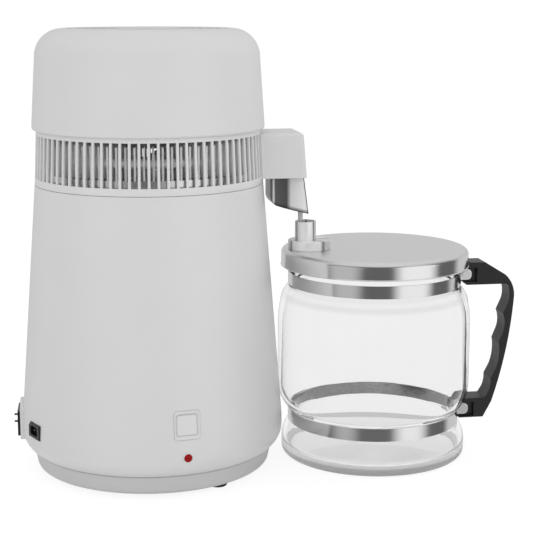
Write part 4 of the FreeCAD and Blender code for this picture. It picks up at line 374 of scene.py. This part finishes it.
# Painted shade: the plinth gets the housing's white set darker (0.58 against 0.70), standing in for
# the shade under the housing's overhang.
SHADED_PLINTH_COAT = white_coat("plinth_coat", 0.58, 0.36, 0.0011, 0.00003, shadow_top=JOIN_Z)
MOULDED = white_coat("moulded_white", 0.71, 0.30, 0.0016, 0.00002)
BUTTON_WHITE = white_coat("button_white", 0.72, 0.24, 0.002, 0.00001)
BAND_STEEL = band_steel()
LID_STEEL = turned_steel("lid_steel", 0.84, (JAR_X * MM, 0, 0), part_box("lid")[1][2])
CHUTE_STEEL = chute_steel()
CUP_STEEL = reflection_painted_steel("cup_steel")
POT_STEEL = polished_steel("pot_steel", 0.84, 0.26, (1, 1, 12))
PIN_METAL = polished_steel("pin_plate", 0.8, 0.16, (1, 1, 3))
DULL_STEEL = polished_steel("dull_steel", 0.38, 0.42, (2, 2, 2), 0.00006)
ALUMINIUM = sheet_aluminium()
BLACK = black_plastic("handle_black", 0.010, 0.38)
SOCKET_BLACK = black_plastic("socket_black", 0.010, 0.34, 0.0005, 0.00002)
FEET_RUBBER = black_plastic("feet_rubber", 0.014, 0.72, 0.0012, 0.00005)
SILICONE = milky_rubber("silicone", 0.72, 0.42)
TUBE_SILICONE = milky_rubber("tube_silicone", 0.66, 0.36)
GLASS = clear_glass("jar_glass_clear", 0.915, 0.38, 1.15)
CHARCOAL = charcoal()
LENS = red_lens()


# Shapes.

def round_corners(corners, soft):
    """Replace each sharp corner of a closed outline by a short arc of three points."""
    flat_turn, most_of_side = 0.5, 0.4
    points = [Vector(corner) for corner in corners]
    result = []
    for n, here in enumerate(points):
        back, ahead = points[n - 1] - here, points[(n + 1) % len(points)] - here
        if (-back).angle(ahead) < flat_turn:
            result.append(here)
            continue
        reach = min(soft, back.length * most_of_side, ahead.length * most_of_side)
        near, far = here + back.normalized() * reach, here + ahead.normalized() * reach
        result += [near, (near + far + here * 2) / 4, far]
    return result


def smooth(mesh, angle=32.0):
    """Smooth shading with edges sharper than the angle kept."""
    mesh.polygons.foreach_set("use_smooth", [True] * len(mesh.polygons))
    mesh.set_sharp_from_angle(angle=math.radians(angle))
    return mesh


def mesh_object(name, bm, angle=32.0):
    """A smooth-shaded object from a bmesh, which it uses up."""
    mesh = bpy.data.meshes.new(name)
    bm.to_mesh(mesh)
    bm.free()
    piece = bpy.data.objects.new(name, smooth(mesh, angle))
    bpy.context.scene.collection.objects.link(piece)
    return piece


def turn(bm, points, low=0.0, segments=144, arc=(0, 360)):
    """Turn a closed half section in millimetres about the Z axis, fully or through an arc."""
    full = arc[1] - arc[0] == 360
    count = segments if full else segments + 1
    angles = [math.radians(arc[0] + (arc[1] - arc[0]) * k / segments) for k in range(count)]
    rings = [[bm.verts.new((radius * math.cos(a) * MM, radius * math.sin(a) * MM,
                            (low + height) * MM)) for a in angles] for radius, height in points]
    for first, second in zip(rings, rings[1:] + rings[:1]):
        for k in range(segments):
            after = (k + 1) % count
            bm.faces.new((first[k], first[after], second[after], second[k]))
    if not full:
        bm.faces.new([ring[0] for ring in rings])
        bm.faces.new([ring[-1] for ring in reversed(rings)])


def finished(piece, body, slot, finish, *nodes):
    """Give a piece its finish and its body, and hide the nodes that it stands for; the slot is not
    used.
    """
    piece.data.materials.clear()
    piece.data.materials.append(finish)
    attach(piece, body)
    if nodes:
        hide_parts(*nodes)
    return piece


def baked(piece):
    """The piece with its modifiers made part of its mesh."""
    graph = bpy.context.evaluated_depsgraph_get()
    mesh = bpy.data.meshes.new_from_object(piece.evaluated_get(graph), depsgraph=graph)
    mesh.name = piece.name
    piece.modifiers.clear()
    piece.data = mesh
    return piece


class Pattern(Graph):
    """A Geometry Nodes tree with named inputs, run once and made part of a piece's mesh."""

    def __init__(self, name, **values):
        super().__init__(bpy.data.node_groups.new(name, "GeometryNodeTree"))
        self.values = values
        sockets = self.tree.interface
        sockets.new_socket(name="Geometry", in_out="INPUT", socket_type="NodeSocketGeometry")
        sockets.new_socket(name="Geometry", in_out="OUTPUT", socket_type="NodeSocketGeometry")
        for key, value in values.items():
            kind = "NodeSocketInt" if isinstance(value, int) else "NodeSocketFloat"
            sockets.new_socket(name=key, in_out="INPUT", socket_type=kind)
        source = self.tree.nodes.new("NodeGroupInput")
        self.given = {socket.name: Wire(self, socket) for socket in source.outputs if socket.name}

    def __getitem__(self, key):
        return self.given[key]

    def bar(self, depth, width, height, round_by):
        """An upright bar with rounded long edges, centred."""
        section = self.add("GeometryNodeCurvePrimitiveQuadrilateral", Width=depth, Height=width)
        section = self.add("GeometryNodeFilletCurve", {"mode": "POLY"}, Curve=section,
                           Radius=round_by, Count=2)
        spine = self.add("GeometryNodeCurvePrimitiveLine", Start=self.vector(z=height * -0.5),
                         End=self.vector(z=height * 0.5))
        return self.add("GeometryNodeCurveToMesh", Curve=spine, Profile_Curve=section, Fill_Caps=True)

    def ring(self, shape, count, first, pitch, radius, height, lean=0.0):
        """Copies of a shape round the Z axis, angles in degrees."""
        index = self.add("GeometryNodeInputIndex")
        angle = (first + index * pitch) * (math.pi / 180)
        spot = self.vector(radius * self.sum("COSINE", angle), radius * self.sum("SINE", angle),
                           height)
        points = self.add("GeometryNodePoints", Count=count, Position=spot)
        return self.add("GeometryNodeInstanceOnPoints", Points=points, Instance=shape,
                        Rotation=self.vector(0.0, lean, angle))

    def join(self, *parts):
        node = self.tree.nodes.new("GeometryNodeJoinGeometry")
        for part in reversed(parts):
            self.tree.links.new(part.socket, node.inputs[0])
        return Wire(self, node.outputs[0])

    def run(self, piece, shape, finish, angle=32.0):
        """End the tree, set its inputs and bake it into the piece."""
        real = self.add("GeometryNodeRealizeInstances", Geometry=shape)
        coated = self.add("GeometryNodeSetMaterial", Geometry=real, Material=finish)
        self.add("NodeGroupOutput", in0=coated)
        grown = piece.modifiers.new(self.tree.name, "NODES")
        grown.node_group = self.tree
        for item in self.tree.interface.items_tree:
            if item.in_out == "INPUT" and item.name in self.values:
                grown[item.identifier] = self.values[item.name]
        baked(piece)
        smooth(piece.data, angle)
        return piece


def softened(node, edge=0.3, steps=2, angle=32.0):
    """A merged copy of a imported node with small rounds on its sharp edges."""
    bm = bmesh.new()
    bm.from_mesh(frame["nodes"][node].data)
    same_spot, same_plane = 1e-6, math.radians(0.6)
    bmesh.ops.remove_doubles(bm, verts=bm.verts, dist=same_spot)
    bmesh.ops.dissolve_limit(bm, angle_limit=same_plane, verts=bm.verts, edges=bm.edges)
    piece = mesh_object(f"{node}_soft", bm, angle)
    if edge:
        bevel = piece.modifiers.new("edge", "BEVEL")
        bevel.width = edge * MM
        bevel.segments = steps
        bevel.limit_method = "ANGLE"
        bevel.angle_limit = math.radians(angle)
        bevel.use_clamp_overlap = True
        bevel.harden_normals = False
        normals = piece.modifiers.new("normals", "WEIGHTED_NORMAL")
        normals.keep_sharp = True
    return baked(piece)


BODIES = frame["record"]["behaviour"]["bodies"]
BODY_OF = {node: body for body, nodes in BODIES.items() for node in nodes}
SLOT_OF = {row["node"]: row["material_slot"] for row in frame["record"]["subparts"]}


def soft_copy(node, finish, edge=0.3, steps=2):
    """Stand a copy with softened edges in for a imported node."""
    return finished(softened(node, edge, steps), BODY_OF[node], SLOT_OF[node], finish, node)


def coat_node(finish, *nodes):
    """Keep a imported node's shape and give it a finish."""
    for node in nodes:
        frame["nodes"][node].data.materials.clear()
        frame["nodes"][node].data.materials.append(finish)


# Shapes that follow a rule.

def vent_ring():
    """Two rims and the wall behind the spout, with slats grown between the rims."""
    lean = (VENT_LOW_R - VENT_TOP_R) / VENT_H
    rim_low, rim_high, overlap = 6.2, 42.5, 0.4
    wall, spout_half_turn = 2.4, 16.93

    def outer(height):
        return VENT_LOW_R - height * lean

    bm = bmesh.new()
    turn(bm, round_corners([
        (outer(0), 0), (outer(rim_low), rim_low), (outer(rim_low) - wall, rim_low), (96.0, 2.2),
        (92.8, 2.2), (92.8, 0)], 0.4), low=HEAD_Z, segments=180)
    turn(bm, round_corners([
        (outer(rim_high), rim_high), (VENT_TOP_R, VENT_H), (95.4, VENT_H), (95.4, 54.0), (93.0, 54.0),
        (93.9, VENT_H), (94.1, rim_high)], 0.3), low=HEAD_Z, segments=180)
    foot, head = rim_low - overlap, rim_high + overlap
    turn(bm, [(outer(foot), foot), (outer(head), head), (94.1, head), (95.85, foot)],
         low=HEAD_Z, segments=24, arc=(-spout_half_turn, spout_half_turn))
    piece = mesh_object("vent_ring_slats", bm)
    plan = Pattern("slats", Slats=70, Pitch=SLOT_PITCH, First=20.769, Wall=wall * MM, Width=0.0023,
                   Height=0.0371, Radius=0.09615, Middle=(HEAD_Z + 24.35) * MM, Edge=0.0005)
    bar = plan.bar(plan["Wall"], plan["Width"], plan["Height"], plan["Edge"])
    slats = plan.ring(bar, plan["Slats"], plan["First"], plan["Pitch"], plan["Radius"],
                      plan["Middle"], lean=-math.atan(lean))
    plan.run(piece, plan.join(plan["Geometry"], slats), MOULDED)
    finished(piece, "head", SLOT_OF["vent_ring"], MOULDED, "vent_ring")


def condenser():
    """One turn of tube with its inlet and its drop, and the flanged fins on it."""
    def arc(centre, radius, start, end, step=6):
        count = max(3, round(abs(end - start) / step))
        angles = (math.radians(start + (end - start) * k / count) for k in range(count + 1))
        return [(centre[0] + radius * math.cos(a), centre[1] + radius * math.sin(a)) for a in angles]

    turn_r, tube_z, opening = 80.0, 24.5, 14
    inlet_start, inlet_bend, outlet_bend = 30, 20, 25.5
    drop_inset, drop_bend, drop_low = 12.3, 9, -4.5
    open_by, inlet_r = math.radians(opening), turn_r - inlet_bend
    steam = math.asin(inlet_bend / inlet_r) - open_by
    drop_x = DRIP_X - drop_inset
    path = [(inlet_start * math.cos(steam), inlet_start * math.sin(steam))]
    path += arc((inlet_r * math.cos(open_by), -inlet_r * math.sin(open_by)), inlet_bend,
                math.degrees(steam) + 90, -opening)
    path += arc((0, 0), turn_r, -opening, opening - 360)[1:]
    path += arc(((turn_r + outlet_bend) * math.cos(open_by), outlet_bend), outlet_bend,
                180 + opening, 270)[1:]
    path = [(x, y, tube_z) for x, y in path]
    path += [(x, 0, z + tube_z - drop_bend)
             for x, z in arc((drop_x - drop_bend, 0), drop_bend, 90, 0)]
    path.append((drop_x, 0, drop_low))
    bm = bmesh.new()
    spots = [bm.verts.new((x * MM, y * MM, (z + HEAD_Z) * MM)) for x, y, z in path]
    for first, second in zip(spots, spots[1:]):
        bm.edges.new((first, second))
    piece = mesh_object("condenser_fins", bm)
    plan = Pattern("fins", Fins=71, First=18.461, Pitch=SLOT_PITCH, Inner=0.068, Outer=0.0937,
                   Height=0.0271, Thickness=0.0006, Flange=0.0014, Middle=(HEAD_Z + 25.45) * MM,
                   Tube=0.004)
    line = plan.add("GeometryNodeMeshToCurve", Mesh=plan["Geometry"])
    section = plan.add("GeometryNodeCurvePrimitiveCircle", Resolution=20, Radius=plan["Tube"])
    tube = plan.add("GeometryNodeCurveToMesh", Curve=line, Profile_Curve=section, Fill_Caps=True)
    depth = plan["Outer"] - plan["Inner"]
    plate = plan.add("GeometryNodeMeshCube",
                     Size=plan.vector(depth, plan["Thickness"], plan["Height"]))
    flange = plan.add("GeometryNodeMeshCube",
                      Size=plan.vector(plan["Thickness"], plan["Flange"], plan["Height"]))
    flange = plan.add("GeometryNodeTransform", Geometry=flange, Translation=plan.vector(
        (depth - plan["Thickness"]) * 0.5, 0.0, 0.0))
    fins = plan.ring(plan.join(plate, flange), plan["Fins"], plan["First"], plan["Pitch"],
                     (plan["Outer"] + plan["Inner"]) * 0.5, plan["Middle"])
    plan.run(piece, plan.join(tube, fins), ALUMINIUM, 40)
    finished(piece, "head", SLOT_OF["condenser_coil"], ALUMINIUM, "condenser_coil")


def soft_box(half_wide, half_high, radius, count=6):
    """Points of a box with round corners, anticlockwise."""
    points = []
    for quarter, (side, end) in enumerate(((1, 1), (-1, 1), (-1, -1), (1, -1))):
        angles = (math.radians(90 * (quarter + k / count)) for k in range(count + 1))
        points += [(side * (half_wide - radius) + radius * math.cos(a),
                    end * (half_high - radius) + radius * math.sin(a)) for a in angles]
    return points


def panel_ring(name, inner, outer, front, depth, body, finish, bend_r=math.inf):
    """A thin ring round the button, flat or bent round the housing's tapered side."""
    bm = bmesh.new()
    loops = []
    for points, back in ((outer, 0), (outer, depth), (inner, depth), (inner, 0)):
        loops.append([bm.verts.new(((front - y * y / (2 * bend_r) - back) * MM, y * MM, z * MM))
                      for y, z in points])
    for first, second in zip(loops, loops[1:] + loops[:1]):
        for k in range(len(first)):
            after = (k + 1) % len(first)
            bm.faces.new((first[k], first[after], second[after], second[k]))
    spot = Matrix.Rotation(math.radians(PANEL_TURN), 4, "Z")
    spot = spot @ Matrix.Translation((PANEL_R * MM, 0, BUTTON_Z * MM))
    spot = spot @ Matrix.Rotation(math.radians(-DRAFT), 4, "Y")
    bmesh.ops.transform(bm, matrix=spot, verts=bm.verts)
    bmesh.ops.recalc_face_normals(bm, faces=bm.faces)
    finished(mesh_object(name, bm), body, SLOT_OF["button"], finish)


# Base.

panel_ring("button_skirt", soft_box(8.4, 8.4, 1.4), soft_box(8.75, 8.75, 1.75), -1.3, 2.0,
           "button", BUTTON_WHITE)
panel_ring("bezel_seat", soft_box(11.03, 12.03, 3.0), soft_box(11.27, 12.27, 3.0), -0.15, 1.0,
           "base", MOULDED, PANEL_R)
soft_copy("housing", COAT, 0.5)
soft_copy("plinth", SHADED_PLINTH_COAT, 0.5)
soft_copy("button_bezel", MOULDED, 0.25)
soft_copy("button", BUTTON_WHITE, 0.2)
soft_copy("power_inlet", SOCKET_BLACK, 0.3)
soft_copy("fan_socket", SOCKET_BLACK, 0.3)
coat_node(FEET_RUBBER, "foot_1", "foot_2", "foot_3")
coat_node(POT_STEEL, "boiling_pot")
coat_node(ALUMINIUM, "heater_plate")
coat_node(DULL_STEEL, "heating_element", "heater_posts")
coat_node(SOCKET_BLACK, "thermostat", "thermal_cutout", "switch_body")
coat_node(BUTTON_WHITE, "lamp_holder")
coat_node(LENS, "lamp_lens")
coat_node(PIN_METAL, "inlet_pins", "fan_socket_pins", "fan_inlet_pins", "fan_shaft")

# Head.

coat_node(SILICONE, "head_seal", "steam_sleeve")
coat_node(POT_STEEL, "head_pan", "steam_pipe")
vent_ring()
condenser()
soft_copy("head_cover", COAT, 0.4)
soft_copy("spout_housing", COAT, 0.6)
soft_copy("spout_chute", CHUTE_STEEL, 0.2)
soft_copy("fan_rotor", SOCKET_BLACK, 0.3)
soft_copy("fan_inlet", SOCKET_BLACK, 0.3)
coat_node(SOCKET_BLACK, "fan_motor")
coat_node(MOULDED, "fan_deck")
coat_node(TUBE_SILICONE, "drip_tube")

# Jar and lid.

soft_copy("jar_glass", GLASS, 0)
soft_copy("neck_band", BAND_STEEL, 0.1)
soft_copy("waist_band", BAND_STEEL, 0.1)
soft_copy("handle", BLACK, 0.8, 3)
coat_node(PIN_METAL, "handle_bolt_upper", "handle_bolt_lower")
soft_copy("lid", LID_STEEL, 0.2)
coat_node(SILICONE, "lid_gasket")
soft_copy("filter_collar", CUP_STEEL, 0.5)
soft_copy("filter_cup", CUP_STEEL, 0.3)
coat_node(CHARCOAL, "carbon_filter")


# Stage, light and camera.

def studio():
    """A dim room whose light is plain, with pale cards that only reflections show."""
    world = bpy.data.worlds.new("studio")
    bpy.context.scene.world = world
    room = Finish("studio", world)
    x, y, z = room.axes(room.add("ShaderNodeTexCoord", output="Generated"), "XYZ")

    def card(azimuth, half_width, grey, edge=15):
        """A pale upright card, by its direction and half width in degrees, soft at its edges."""
        turned, near, far = (math.radians(angle) for angle in (azimuth, half_width, half_width + edge))
        facing = x * math.cos(turned) + y * math.sin(turned)
        return room.fade(facing, math.cos(far), math.cos(near), high=grey)

    dim = 0.12
    windows = room.sum("MAXIMUM", card(-50, 20, 0.9), card(-140, 15, 0.5))
    cards = room.sum("MAXIMUM", room.sum("MAXIMUM", windows, card(90, 70, 0.6)), dim)
    rays = {name: room.add("ShaderNodeLightPath", output=name)
            for name in ("Is Camera Ray", "Is Glossy Ray", "Is Transmission Ray", "Ray Depth")}
    haze, ceiling, table = 0.45, 0.72, 0.92
    cards = room.tint(rays["Ray Depth"] > 2.5, cards, haze)
    cards = room.tint(room.fade(z, 0.35, 0.75), cards, ceiling)
    cards = room.tint(room.fade(z, -0.35, -0.55), cards, table)
    ambient = room.add("ShaderNodeBackground", Color=colour(1.0), Strength=0.86)
    gloss = room.add("ShaderNodeBackground", Color=cards, Strength=1.0)
    white = room.add("ShaderNodeBackground", Color=colour(1.0), Strength=1.0)
    lit = room.add("ShaderNodeMixShader", Fac=rays["Is Glossy Ray"], in1=ambient, in2=gloss)
    seen = room.sum("MAXIMUM", rays["Is Camera Ray"], rays["Is Transmission Ray"])
    shown = room.add("ShaderNodeMixShader", Fac=seen, in1=lit, in2=white)
    room.add("ShaderNodeOutputWorld", Surface=shown)


def floor():
    """A pale floor that keeps a faint shadow."""
    side, drop = 12, 0.2 * MM
    bpy.ops.mesh.primitive_plane_add(size=side, location=(0, 0, -drop))
    ground = bpy.context.object
    ground.name = "floor"
    paint = Finish("floor_paint")
    rays = [paint.add("ShaderNodeLightPath", output=name)
            for name in ("Is Camera Ray", "Is Transmission Ray")]
    seen = paint.sum("MAXIMUM", *rays)
    matt = paint.add("ShaderNodeBsdfDiffuse", Color=colour(0.88))
    glow = paint.add("ShaderNodeEmission", Color=colour(1.0), Strength=1.1)
    mixed = paint.add("ShaderNodeMixShader", Fac=seen * 0.8, in1=matt, in2=glow)
    paint.add("ShaderNodeOutputMaterial", Surface=mixed)
    ground.data.materials.append(paint.owner)
    ground.visible_glossy = False


def lamp(name, place, power, aim=(0, 0, 0.2), size=(0.6, 1.4)):
    """An upright soft box in metres and watts, turned to the object and unseen in gloss."""
    light = bpy.data.lights.new(name, "AREA")
    light.shape = "RECTANGLE"
    light.size, light.size_y = size
    light.energy = power
    holder = bpy.data.objects.new(name, light)
    holder.location = place
    holder.rotation_euler = (Vector(aim) - Vector(place)).to_track_quat("-Z", "Y").to_euler()
    holder.visible_glossy = False
    bpy.context.scene.collection.objects.link(holder)


def camera():
    """A long lens a little left of the object and above it."""
    lens = bpy.data.cameras.new("camera")
    lens.lens, lens.sensor_width = 94.8, 36
    tilt, turned = 79.33, -9.15
    holder = bpy.data.objects.new("camera", lens)
    holder.location = (-0.0924, -1.2117, 0.4052)
    holder.rotation_euler = (math.radians(tilt), 0, math.radians(turned))
    bpy.context.scene.collection.objects.link(holder)
    bpy.context.scene.camera = holder


studio()
floor()
camera()
lamp("front_box", (-0.3, -1.9, 0.7), 4)
lamp("side_box", (1.6, 0.1, 0.9), 2.6)
bpy.context.scene.view_settings.view_transform = "Standard"
